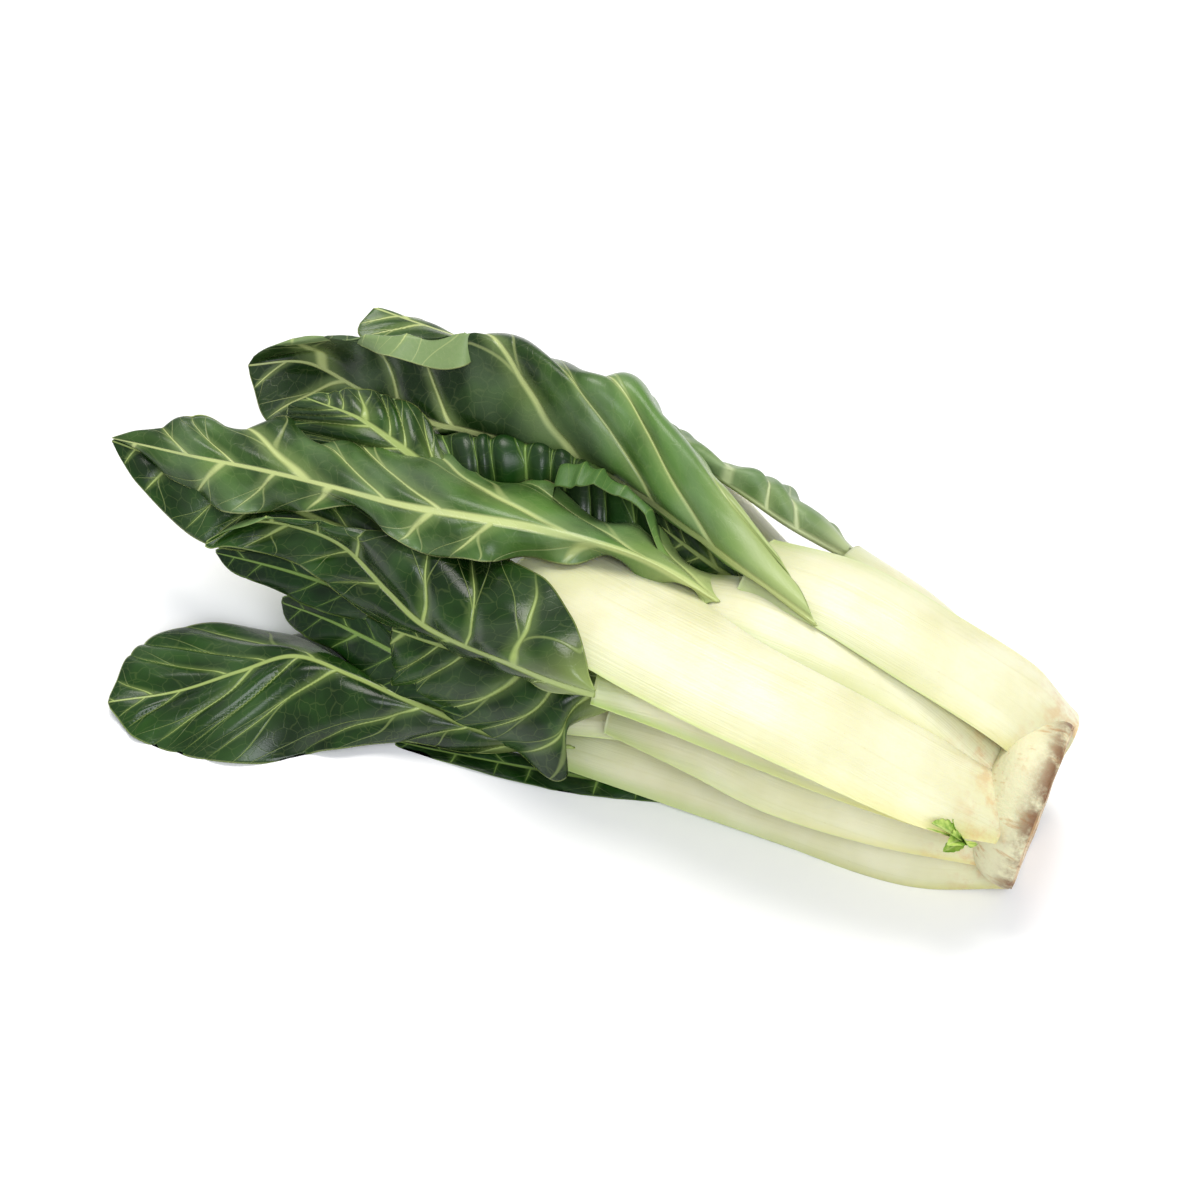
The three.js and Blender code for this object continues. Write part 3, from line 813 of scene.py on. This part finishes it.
class Builder:
    """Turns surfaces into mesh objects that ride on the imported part."""

    THICKNESS = 0.5

    def __init__(self, finishes: "Finishes") -> None:
        """Keeps the finishes.

        Args:
            finishes: the materials.
        """
        self.finishes = finishes

    def make(self, name: str, data: MeshData, node: str, material: Material) -> None:
        """Makes one object from points and faces and hands it to the frame.

        Args:
            name: of the object.
            data: points in mm in the drafting frame, faces and attributes.
            node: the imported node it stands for.
            material: what it is made of.
        """
        points = (data.points + OFFSET) * MM
        points[:, 2] = np.maximum(points[:, 2], 0.0002)
        faces = np.concatenate(data.faces)
        mesh = bpy.data.meshes.new(name)
        mesh.vertices.add(len(points))
        mesh.vertices.foreach_set("co", points.ravel().astype(np.float32))
        mesh.loops.add(faces.size)
        mesh.loops.foreach_set("vertex_index", faces.ravel().astype(np.int32))
        mesh.polygons.add(len(faces))
        starts = np.arange(0, faces.size, 4, dtype=np.int32)
        mesh.polygons.foreach_set("loop_start", starts)
        mesh.polygons.foreach_set("use_smooth", np.ones(len(faces), bool))
        mesh.update(calc_edges=True)
        mesh.validate()
        for key, value in data.values.items():
            layer = mesh.attributes.new(key, "FLOAT_VECTOR", "POINT")
            layer.data.foreach_set("vector", value.ravel().astype(np.float32))
        mesh.materials.append(material)
        piece = bpy.data.objects.new(name, mesh)
        bpy.context.scene.collection.objects.link(piece)
        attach(piece, "root")
        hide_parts(node)
        LOG.info("%s: %d faces", name, len(faces))

    def blade(self, blade: Blade) -> None:
        """A closed thin sheet: two faces half a thickness to each side of the middle
        surface that share their margin, so that the rim is a soft edge."""
        sheet = Sheet(blade)
        normal = sheet.normals()
        rows, columns = sheet.out.shape
        inner = (slice(1, -1), slice(1, -1))
        half = self.THICKNESS / 2 * smooth(0, 2.5, sheet.edge)[..., None]
        ridge = 0.5 * np.exp(-((sheet.out / 3) ** 2))[..., None] * (half > 0)
        top = sheet.points + normal * half
        bottom = sheet.points - normal * (half + ridge)
        upper = np.arange(rows * columns).reshape(rows, columns)
        lower = upper.copy()
        inside = np.arange((rows - 2) * (columns - 2)).reshape(rows - 2, -1)
        lower[inner] = rows * columns + inside
        veins = np.stack([sheet.phase, sheet.out, sheet.edge], -1)
        share = sheet.along / sheet.length
        # Light and shade painted along the blade, passed to the shader as the third value of form.
        tone = spline(np.array(blade.tone), share)
        form = np.stack([share, np.ones_like(share), tone], -1)
        place = np.stack([sheet.along, sheet.out * sheet.side, 0 * share], -1)
        under = form * np.array([1, -1, 1])

        def both(a: np.ndarray, b: np.ndarray) -> np.ndarray:
            """One face's grid, then the inside of the other's."""
            return np.concatenate([a.reshape(-1, 3), b[inner].reshape(-1, 3)])

        data = MeshData(
            both(top, bottom),
            [grid_faces(upper)[:, ::-1], grid_faces(lower)],
            {
                "veins": both(veins, veins),
                "form": both(form, under),
                "place": both(place, place),
            },
        )
        material = self.finishes.leaf(blade)
        self.make("leaf_" + blade.name, data, "blade_" + blade.name, material)

    def stalk(self, stalk: Stalk) -> None:
        """A closed loft: rings of an arched outer face and a flatter inner face that meet
        at the wings. The outer face is an arc of the width and turn at that place; the
        inner face lies under it by the depth times the height of a half circle."""
        path = np.array(stalk.path, float)
        fine = np.linspace(0, 1, 300)
        run = lengths(spline(path, fine), 0)
        count = int(run[-1] / stalk.step) + 1
        share = np.linspace(0, 1, count)
        t = np.interp(share, run / run[-1], fine)
        centre = spline(path, t)
        tangent = unit(np.gradient(centre, axis=0))
        side = unit(np.cross(UP, tangent))
        normal = np.cross(tangent, side)
        roll = np.radians(spline(np.array(stalk.roll, float), t))[:, None]
        side, normal = (
            side * np.cos(roll) + normal * np.sin(roll),
            normal * np.cos(roll) - side * np.sin(roll),
        )
        width = spline(np.array(stalk.width, float), t)
        turn = -np.radians(spline(np.array(stalk.turn, float), t))
        depth = spline(np.array(stalk.depth, float), t)
        radius = width / turn
        around = 2 * max(int(width.max() / stalk.step), 8)
        k = np.arange(around)
        outer = k <= around // 2
        u = np.cos(2 * np.pi * k / around)
        u = np.sign(u) * np.abs(u) ** 0.9
        under = depth[:, None] * np.sqrt(np.maximum(1 - u**2, 0)) ** 0.9
        mm_along = (share * run[-1])[:, None]
        arc = u[None, :] * width[:, None] / 2
        fibres = 0.12 * np.sin(arc / 1.7 + 0.6 * ripple(mm_along / 40, arc / 9, 2)) * (1 - u**2)
        swell = 0.7 * ripple(mm_along / 38, arc / 19, len(stalk.name)) * (1 - u**4)
        reach = radius[:, None] + np.where(outer, fibres + swell, -under)
        angle = turn[:, None] / 2 * u[None, :]
        points = (
            centre[:, None]
            + normal[:, None] * (reach * np.cos(angle) - radius[:, None])[..., None]
            + side[:, None] * (reach * np.sin(angle))[..., None]
        )
        index = np.arange(count * around).reshape(count, around)
        looped = np.concatenate([index, index[:, :1]], 1)
        wide = np.broadcast_to(share[:, None], (count, around))
        green = stalk.green[0] + (stalk.green[1] - stalk.green[0]) * wide**1.5
        form = np.stack([wide, np.abs(u)[None, :] + 0 * wide, green], -1)
        place = np.stack([mm_along + 0 * wide, arc, 0 * wide], -1)
        caps = []
        for row in (index[0], index[-1][::-1]):
            left, right = row[: around // 2 + 1], np.roll(row[::-1], 1)[: around // 2 + 1]
            caps.append(np.stack([left[:-1], left[1:], right[1:], right[:-1]], -1))
        data = MeshData(
            points.reshape(-1, 3),
            [grid_faces(looped), caps[0][1:-1], caps[1][1:-1]],
            {"form": form.reshape(-1, 3), "place": place.reshape(-1, 3)},
        )
        material = self.finishes.stalk()
        self.make("stalk_piece_" + stalk.name, data, "stalk_" + stalk.name, material)

    def crown(self) -> None:
        """The crown: rings round the plant's axis, lobed where stalks join it, with a flat
        cut face. A ring's radius is its profile times one plus small waves round it."""
        # (distance behind the cut face, radius), from the back round to the face's middle.
        back = [[26, 20], [24, 26], [19, 33], [12, 37], [6, 38], [2.5, 38], [0.8, 37.2]]
        face = [[0, 36], [0.2, 24], [0.5, 12], [0.4, 0.5]]
        profile = np.array(back + face)
        rings = spline(profile, np.linspace(0, 1, 90))
        axis = unit(CROWN_NORMAL)
        side = unit(np.cross(UP, axis))
        rise = np.cross(axis, side)
        angle = np.linspace(0, 2 * np.pi, 160, endpoint=False)[None, :]
        behind, radius = rings[:, :1], rings[:, 1:]
        lobes = 0.03 * np.cos(3 * angle + 0.6) + 0.012 * np.sin(7 * angle + behind / 9)
        reach = radius * (1 + lobes * smooth(4, 30, radius))
        worn = 0.5 * ripple(4 * np.cos(angle), 4 * np.sin(angle), 5) * smooth(3, 0, behind)
        points = CROWN_CENTRE - axis * (behind + worn)[..., None]
        points = points + side * (reach * np.cos(angle))[..., None]
        points = points + rise * (reach * np.sin(angle))[..., None]
        count, around = reach.shape
        index = np.arange(count * around).reshape(count, around)
        looped = np.concatenate([index, index[:, :1]], 1)
        place = np.stack([behind + 0 * reach, reach, angle + 0 * reach], -1)
        caps = []
        for row in (index[0], index[-1][::-1]):
            left, right = row[: around // 2 + 1], np.roll(row[::-1], 1)[: around // 2 + 1]
            caps.append(np.stack([left[:-1], left[1:], right[1:], right[:-1]], -1)[1:-1])
        data = MeshData(points.reshape(-1, 3), [grid_faces(looped), *caps], {"place": place.reshape(-1, 3)})
        self.make("crown_piece", data, "crown", self.finishes.crown())

    def sprout(self) -> None:
        """The side shoot: pointed leaflets that fan out from one point. A leaflet's half
        width is a sine of its length, its margin toothed, its face folded and arched."""
        root = np.array([204.0, -42.0, 56.0])
        shapes = [
            ([-0.55, -0.5, 0.67], 22, 4.2),
            ([-0.9, -0.35, 0.3], 20, 4.2),
            ([-0.1, -0.7, 0.7], 16, 3.8),
            ([0.45, -0.45, 0.75], 14, 3.4),
            ([-0.35, -0.9, 0.2], 12, 2.8),
            ([-0.75, 0.1, 0.65], 11, 2.6),
        ]
        points, faces, values, base = [], [], [], 0
        s = np.linspace(0, 1, 30)[:, None]
        c = np.linspace(-1, 1, 13)[None, :]
        for number, (way, length, half) in enumerate(shapes):
            forward = unit(np.array(way))
            across = unit(np.cross(forward, np.array([0.3, 0.4, 0.9])))
            lift = np.cross(across, forward)
            teeth = 1 + 0.22 * np.abs(np.sin(16 * s)) * np.abs(c)
            width = half * np.sin(np.pi * s**0.8) ** 0.8 * teeth
            width = np.maximum(width, 0.5 * (1 - s))
            rise = 0.5 * np.abs(c) * width + 2.2 * np.sin(2.2 * s + number) * s
            middle = root + forward * (s * length)[..., None] + across * (width * c)[..., None]
            middle = middle + lift * rise[..., None]
            thick = 0.35 * np.sqrt(np.maximum(1 - c**2, 0)) + 0.1
            top = middle + lift * (thick / 2)[..., None]
            bottom = middle - lift * (thick / 2)[..., None]
            rows, columns = top.shape[:2]
            upper = base + np.arange(rows * columns).reshape(rows, columns)
            lower = upper.copy()
            inside = rows * columns + np.arange((rows - 2) * (columns - 2)).reshape(rows - 2, -1)
            lower[1:-1, 1:-1] = base + inside
            both = np.concatenate([top.reshape(-1, 3), bottom[1:-1, 1:-1].reshape(-1, 3)])
            tint = np.stack([s + 0 * c, np.abs(c) + 0 * s, 0 * s + number / 6 + 0 * c], -1)
            values.append(np.concatenate([tint.reshape(-1, 3), tint[1:-1, 1:-1].reshape(-1, 3)]))
            points.append(both)
            faces += [grid_faces(upper), grid_faces(lower)[:, ::-1]]
            base += len(both)
        data = MeshData(np.concatenate(points), faces, {"form": np.concatenate(values)})
        self.make("sprout_piece", data, "sprout", self.finishes.sprout())


def linear(colour: str) -> tuple[float, float, float, float]:
    """An sRGB hex colour as linear red, green, blue and alpha."""
    parts = [int(colour[k : k + 2], 16) / 255 for k in (1, 3, 5)]
    turned = [c / 12.92 if c <= 0.04045 else ((c + 0.055) / 1.055) ** 2.4 for c in parts]
    return (turned[0], turned[1], turned[2], 1.0)


class Graph:
    """A small helper over one material's nodes."""

    def __init__(self, name: str) -> None:
        """Starts an empty material with one Principled surface.

        Args:
            name: what the material is.
        """
        self.material = bpy.data.materials.new(name)
        self.material.use_nodes = True
        self.tree = self.material.node_tree
        self.tree.nodes.clear()
        self.output = self.add("ShaderNodeOutputMaterial")
        self.surface = self.add("ShaderNodeBsdfPrincipled")
        self.tree.links.new(self.surface.outputs[0], self.output.inputs["Surface"])

    def add(self, kind: str, settings: dict | None = None, **sockets: object) -> bpy.types.Node:
        """Adds a node, sets its properties and fills its sockets.

        Args:
            kind: the node's type.
            settings: its properties.
            sockets: for each socket, as s0, s1 or its name with _ for a space, a value
                or another node's output.
        Returns:
            The node.
        """
        node = self.tree.nodes.new(kind)
        for key, value in (settings or {}).items():
            setattr(node, key, value)
        for key, value in sockets.items():
            numbered = key[0] == "s" and key[1:].isdigit()
            socket = node.inputs[int(key[1:]) if numbered else key.replace("_", " ")]
            if isinstance(value, Socket):
                self.tree.links.new(value, socket)
            else:
                socket.default_value = value
        return node

    def math(
        self, operation: str, a: Socket | float, b: Socket | float = 0.0, c: Socket | float = 0.0
    ) -> Socket:
        """A number worked from up to three others."""
        settings = {"operation": operation}
        return self.add("ShaderNodeMath", settings, s0=a, s1=b, s2=c).outputs[0]

    def step(
        self, value: Socket, low: float, high: float, start: float = 0.0, end: float = 1.0
    ) -> Socket:
        """A smooth step of a number."""
        settings = {"interpolation_type": "SMOOTHSTEP"}
        made = self.add(
            "ShaderNodeMapRange", settings, s0=value, s1=low, s2=high, s3=start, s4=end
        )
        return made.outputs[0]

    def mix(self, factor: Socket | float, a: Socket | str, b: Socket | str) -> Socket:
        """A colour between two others."""
        node = self.add("ShaderNodeMix", {"data_type": "RGBA"}, s0=factor)
        for number, value in ((6, a), (7, b)):
            if isinstance(value, Socket):
                self.tree.links.new(value, node.inputs[number])
            else:
                node.inputs[number].default_value = linear(value)
        return node.outputs[2]

    def read(self, name: str) -> tuple[Socket, ...]:
        """An attribute's vector and its three parts."""
        node = self.add("ShaderNodeAttribute", {"attribute_name": name})
        parts = self.add("ShaderNodeSeparateXYZ", s0=node.outputs["Vector"])
        return node.outputs["Vector"], *parts.outputs

    def noise(
        self, vector: Socket, scale: float, detail: float = 3.0, rough: float = 0.5
    ) -> Socket:
        """A noise value about 0.5."""
        node = self.add(
            "ShaderNodeTexNoise", Vector=vector, Scale=scale, Detail=detail, Roughness=rough
        )
        return node.outputs["Fac"]

    def stretch(self, vector: Socket, by: tuple[float, float, float]) -> Socket:
        """A vector scaled along its axes."""
        settings = {"operation": "MULTIPLY"}
        return self.add("ShaderNodeVectorMath", settings, s0=vector, s1=by).outputs[0]

    def bump(self, height: Socket, distance: float, strength: float = 1.0) -> Socket:
        """A bumped normal; the distance is in metres."""
        node = self.add("ShaderNodeBump", Height=height, Distance=distance, Strength=strength)
        return node.outputs[0]

    def finish(
        self, colour: Socket, roughness: Socket | float, normal: Socket, **constants: object
    ) -> Material:
        """Links the surface and returns the material."""
        surface = self.surface
        self.tree.links.new(colour, surface.inputs["Base Color"])
        if isinstance(roughness, Socket):
            self.tree.links.new(roughness, surface.inputs["Roughness"])
        else:
            surface.inputs["Roughness"].default_value = roughness
        self.tree.links.new(normal, surface.inputs["Normal"])
        for key, value in constants.items():
            surface.inputs[key.replace("_", " ")].default_value = value
        return self.material


class Finishes:
    """The head's materials, each made once."""

    def __init__(self) -> None:
        """Starts with no material made."""
        self.made: dict[str, Material] = {}

    def leaf(self, blade: Blade) -> Material:
        """Leaf tissue: green with a pale midrib, laterals that fork, a fine net of veins
        and a thin pale margin; the lower face is paler and duller. Light and shade along the blade are painted into
        the green, and pale patches on the upper face are painted sheen."""
        look = blade.finish.value
        spacing = 1.15 * 0.8 * midrib_length(blade) / blade.veins
        key = f"{look.name} {blade.name}"
        if key in self.made:
            return self.made[key]
        g = Graph(key)
        _, phase, out, edge = g.read("veins")
        _, along, side, tone = g.read("form")
        place = g.read("place")[0]
        up = g.step(side, -0.2, 0.2)
        share = g.math("DIVIDE", out, g.math("ADD", g.math("ADD", out, edge), 0.01))
        # Distance in mm to the nearest lateral, and how wide that lateral is here.
        gap = g.math("MULTIPLY", g.math("PINGPONG", phase, 0.5), spacing)
        taper = g.math("MULTIPLY_ADD", share, -0.8 * look.vein_width, look.vein_width)
        tip = g.math("MULTIPLY_ADD", along, -0.5, 1.2)
        width = g.math("MAXIMUM", g.math("MULTIPLY", taper, tip), 0.3)
        reach = g.step(share, 0.72, 1.0, 1.0, 0.15)
        core = g.step(g.math("DIVIDE", gap, width), 0.25, 1.25, 1.0, 0.0)
        lateral = g.math("MULTIPLY", core, reach)
        halo = g.math("MULTIPLY", g.step(g.math("DIVIDE", gap, width), 0.5, 5.0, 1.0, 0.0), reach)
        # Forks leave their lateral a third of the way out and spread to both sides.
        spread = g.math("MULTIPLY", g.step(share, 0.3, 1.0), 0.42)
        forks = []
        for way in ("ADD", "SUBTRACT"):
            moved = g.math("MULTIPLY", g.math("PINGPONG", g.math(way, phase, spread), 0.5), spacing)
            forks.append(g.step(g.math("DIVIDE", moved, width), 0.15, 0.8, 0.4, 0.0))
        fork = g.math("MULTIPLY", g.math("MAXIMUM", *forks), g.step(share, 0.28, 0.45))
        rib_width = g.math("MULTIPLY_ADD", along, -0.85 * look.rib_width, look.rib_width)
        rib = g.step(g.math("DIVIDE", out, rib_width), 0.5, 1.1, 1.0, 0.0)
        # The net's cells are about 6 mm wide, bent by up to 6 mm.
        wobble = g.add("ShaderNodeTexNoise", Vector=place, Scale=0.12, Detail=2.0)
        bend = {"operation": "MULTIPLY_ADD"}
        bent = g.add(
            "ShaderNodeVectorMath", bend, s0=wobble.outputs["Color"], s1=(6.0, 6.0, 0.0), s2=place
        )
        edges = {"feature": "DISTANCE_TO_EDGE"}
        cells = g.add("ShaderNodeTexVoronoi", edges, Vector=bent.outputs[0], Scale=0.16)
        net = g.step(cells.outputs["Distance"], 0.0, 0.045, 1.0, 0.0)
        broad = g.noise(place, 0.035, 3.0)
        speck = g.noise(place, 0.5, 4.0, 0.6)
        # Random mottling plus the light and shade painted along the blade pick between dark and light green.
        shade = g.math("ADD", g.math("MULTIPLY_ADD", broad, 1.3, -0.7), tone)
        green = g.mix(g.step(shade, 0.0, 1.0), look.dark, look.light)
        green = g.mix(g.math("MULTIPLY", speck, 0.12), green, look.light)
        under = g.mix(g.math("MULTIPLY", speck, 0.5), look.under, look.light)
        green = g.mix(up, under, green)
        green = g.mix(g.math("MULTIPLY", net, look.net), green, look.vein)
        glow = g.mix(0.35, look.light, look.vein)
        green = g.mix(g.math("MULTIPLY", halo, 0.42), green, glow)
        pale = g.math("MAXIMUM", g.math("MAXIMUM", lateral, fork), rib)
        green = g.mix(g.math("MULTIPLY", pale, 0.78), green, look.vein)
        # Pale grey-green patches on the upper face are painted sheen: a highlight painted into the colour.
        painted_sheen = g.step(g.noise(place, 0.022, 2.0), 0.46, 0.68, 0.0, look.painted_sheen_strength)
        green = g.mix(g.math("MULTIPLY", painted_sheen, up), green, "#7f9670")
        base = g.step(along, 0.0, 0.2, 0.6, 0.0)
        green = g.mix(base, green, look.vein)
        rim = g.step(edge, 0.2, 0.9, 0.6, 0.0)
        green = g.mix(rim, green, look.vein)
        height = g.math("MULTIPLY", pale, g.math("MULTIPLY_ADD", up, -0.6, -0.4))
        height = g.math("MULTIPLY_ADD", net, -0.06, height)
        grain = g.math("MULTIPLY_ADD", g.noise(place, 1.4, 3.0), 0.12, height)
        rough = g.math("MULTIPLY_ADD", g.noise(place, 0.12, 4.0), 0.22, look.roughness - 0.1)
        rough = g.math("MULTIPLY_ADD", g.math("SUBTRACT", 1.0, up), 0.12, rough)
        normal = g.bump(grain, 0.0005, 0.9)
        self.made[key] = g.finish(green, rough, normal, Specular_IOR_Level=0.3)
        return self.made[key]

    def stalk(self) -> Material:
        """Stalk tissue: creamy white with long fibres, greener at its wings, with light
        brown stains near the crown."""
        if "stalk" in self.made:
            return self.made["stalk"]
        g = Graph("creamy stalk")
        _, along, wing, green = g.read("form")
        place, run, _, _ = g.read("place")
        fibre_place = g.stretch(place, (0.012, 0.45, 1.0))
        fibre = g.noise(fibre_place, 1.0, 4.0, 0.6)
        thin = g.noise(g.stretch(place, (0.03, 1.4, 1.0)), 1.0, 3.0, 0.5)
        cloud = g.noise(place, 0.03, 3.0)
        colour = g.mix(g.step(cloud, 0.3, 0.7), "#d2d0a6", "#dddbba")
        colour = g.mix(g.step(fibre, 0.5, 0.8, 0.0, 0.35), colour, "#c0bd80")
        colour = g.mix(g.step(thin, 0.58, 0.85, 0.0, 0.25), colour, "#b3b372")
        edge = g.math("MULTIPLY", g.step(wing, 0.45, 1.0), green)
        colour = g.mix(edge, colour, "#9fb85a")
        yellow = g.math("MULTIPLY", g.step(wing, 0.6, 1.0), g.step(along, 0.0, 0.7, 0.5, 0.0))
        colour = g.mix(yellow, colour, "#cbc250")
        end = g.math("MULTIPLY", g.step(along, 0.8, 1.0), g.math("MULTIPLY_ADD", green, 0.4, 0.1))
        colour = g.mix(end, colour, "#7c9a44")
        rim = g.math("MULTIPLY", g.step(wing, 0.93, 1.0), g.step(along, 0.05, 0.5))
        colour = g.mix(g.math("MULTIPLY", rim, 0.6), colour, "#b9cc7c")
        blotch = g.noise(place, 0.1, 5.0, 0.65)
        near = g.step(run, 2.0, 34.0, 1.0, 0.0)
        stain = g.math("MULTIPLY", near, g.step(blotch, 0.42, 0.66))
        colour = g.mix(g.math("MULTIPLY", stain, 0.7), colour, "#c99f6b")
        fleck = g.step(g.noise(g.stretch(place, (0.25, 0.5, 1.0)), 1.0, 2.0), 0.74, 0.8)
        colour = g.mix(g.math("MULTIPLY", fleck, 0.35), colour, "#b8a86a")
        height = g.math("MULTIPLY_ADD", thin, 0.5, fibre)
        normal = g.bump(height, 0.0006, 0.5)
        made = g.finish(
            colour,
            0.34,
            normal,
            Subsurface_Weight=0.25,
            Subsurface_Scale=0.008,
            Subsurface_Radius=(1.0, 0.85, 0.4),
            Specular_IOR_Level=0.5,
        )
        self.made["stalk"] = made
        return made

    def crown(self) -> Material:
        """Crown tissue: creamy at its side, brown at the cut's edge, and a dry tan cut
        face with dark specks and faint rings."""
        g = Graph("cut crown")
        place, behind, reach, _ = g.read("place")
        where = g.add("ShaderNodeTexCoord").outputs["Object"]
        coarse = g.noise(where, 90.0, 5.0, 0.65)
        small = g.noise(where, 420.0, 4.0, 0.6)
        side = g.mix(g.step(coarse, 0.5, 0.72, 0.0, 0.6), "#d6d3ac", "#c3a878")
        brown = g.math("MULTIPLY", g.step(behind, 0.5, 13.0, 1.0, 0.0), g.step(coarse, 0.3, 0.58))
        streak = g.noise(g.stretch(place, (0.05, 0.2, 9.0)), 1.0, 4.0, 0.6)
        side = g.mix(g.step(streak, 0.55, 0.72, 0.0, 0.7), side, "#b98d56")
        side = g.mix(g.math("MULTIPLY", brown, 0.92), side, "#6d4421")
        face = g.mix(g.step(coarse, 0.35, 0.65), "#dcc8a4", "#b9976a")
        face = g.mix(g.step(small, 0.56, 0.68), face, "#6a5336")
        rings = g.math("SINE", g.math("MULTIPLY", reach, 0.9))
        face = g.mix(g.step(rings, 0.6, 1.0, 0.0, 0.25), face, "#8a6a42")
        cut = g.math("MULTIPLY", g.step(behind, 0.6, 1.4, 1.0, 0.0), g.step(reach, 37.6, 36.4))
        colour = g.mix(cut, side, face)
        height = g.math("MULTIPLY_ADD", small, 0.5, coarse)
        normal = g.bump(height, 0.0015, 0.6)
        return g.finish(colour, 0.6, normal, Subsurface_Weight=0.1, Subsurface_Scale=0.005)

    def sprout(self) -> Material:
        """Young leaflets: bright yellow-green, paler down the middle."""
        g = Graph("side shoot")
        _, _, out, _ = g.read("form")
        where = g.add("ShaderNodeTexCoord").outputs["Object"]
        tint = g.noise(where, 300.0, 3.0)
        colour = g.mix(g.step(tint, 0.35, 0.65), "#7ba23a", "#b5cc66")
        colour = g.mix(g.step(out, 0.0, 0.25, 0.8, 0.0), colour, "#c3cf83")
        normal = g.bump(tint, 0.0004, 0.6)
        return g.finish(colour, 0.45, normal)


def midrib_length(blade: Blade) -> float:
    """Length of a blade's midrib in mm, from its guide points."""
    points = np.array(blade.guides[blade.rib], float)
    return float(np.linalg.norm(np.diff(points, axis=0), axis=1).sum())


class Stage:
    """The table, the light and the camera; none of it is part of the head."""

    AZIMUTH = 32.0
    ELEVATION = 50.0
    DISTANCE = 1.5
    TARGET = (-0.0017, 0.0136, 0.040)
    LENS = 101.1

    def __init__(self) -> None:
        """Sets the stage."""
        self._floor()
        self._light()
        self._camera()

    def _floor(self) -> None:
        """A plain white table top, far wider than the view."""
        mesh = bpy.data.meshes.new("table")
        r = 6.0
        mesh.from_pydata([(-r, -r, 0), (r, -r, 0), (r, r, 0), (-r, r, 0)], [], [(0, 1, 2, 3)])
        floor = bpy.data.objects.new("table", mesh)
        bpy.context.scene.collection.objects.link(floor)
        g = Graph("white table")
        g.surface.inputs["Base Color"].default_value = linear("#fdfdfc")
        g.surface.inputs["Roughness"].default_value = 0.9
        mesh.materials.append(g.material)

    def _area(self, name: str, place: tuple, size: float, power: float, colour: str) -> None:
        """A round soft light that looks at the head.

        Args:
            name: of the light.
            place: where it hangs, in metres.
            size: its diameter in metres.
            power: in watts.
            colour: as sRGB hex.
        """
        light = bpy.data.lights.new(name, "AREA")
        light.shape = "DISK"
        light.size = size
        light.energy = power
        light.color = linear(colour)[:3]
        lamp = bpy.data.objects.new(name, light)
        lamp.location = place
        aim = Vector(self.TARGET) - Vector(place)
        lamp.rotation_euler = aim.to_track_quat("-Z", "Y").to_euler()
        bpy.context.scene.collection.objects.link(lamp)

    def _light(self) -> None:
        """A pale room, a large key light above and behind, and a fill beside the camera."""
        world = bpy.data.worlds.new("studio")
        bpy.context.scene.world = world
        world.use_nodes = True
        background = world.node_tree.nodes["Background"]
        background.inputs[0].default_value = linear("#f6f8ff")
        background.inputs[1].default_value = 0.52
        self._area("key", (-0.6, 0.8, 2.7), 1.7, 62.0, "#fffbf6")
        self._area("fill", (1.5, -1.3, 2.2), 1.6, 50.0, "#f6f8ff")

    def _camera(self) -> None:
        """A long lens that looks down on the head from its front right."""
        data = bpy.data.cameras.new("camera")
        data.lens = self.LENS
        data.sensor_width = 36.0
        data.clip_start = 0.05
        data.clip_end = 20.0
        data.dof.use_dof = False
        camera = bpy.data.objects.new("camera", data)
        a, e = math.radians(self.AZIMUTH), math.radians(self.ELEVATION)
        way = Vector((math.sin(a) * math.cos(e), -math.cos(a) * math.cos(e), math.sin(e)))
        camera.location = Vector(self.TARGET) + way * self.DISTANCE
        camera.rotation_euler = (-way).to_track_quat("-Z", "Y").to_euler()
        bpy.context.scene.collection.objects.link(camera)
        bpy.context.scene.camera = camera
        view = bpy.context.scene.view_settings
        view.view_transform = "Standard"
        view.look = "None"
        view.exposure = 0.0
        view.gamma = 1.0


def main() -> None:
    """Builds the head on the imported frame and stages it."""
    logging.basicConfig(level=logging.INFO)
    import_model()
    builder = Builder(Finishes())
    for blade in BLADES:
        builder.blade(blade)
    for stalk in STALKS:
        builder.stalk(stalk)
    builder.crown()
    builder.sprout()
    Stage()


if __name__ == "__main__":
    main()
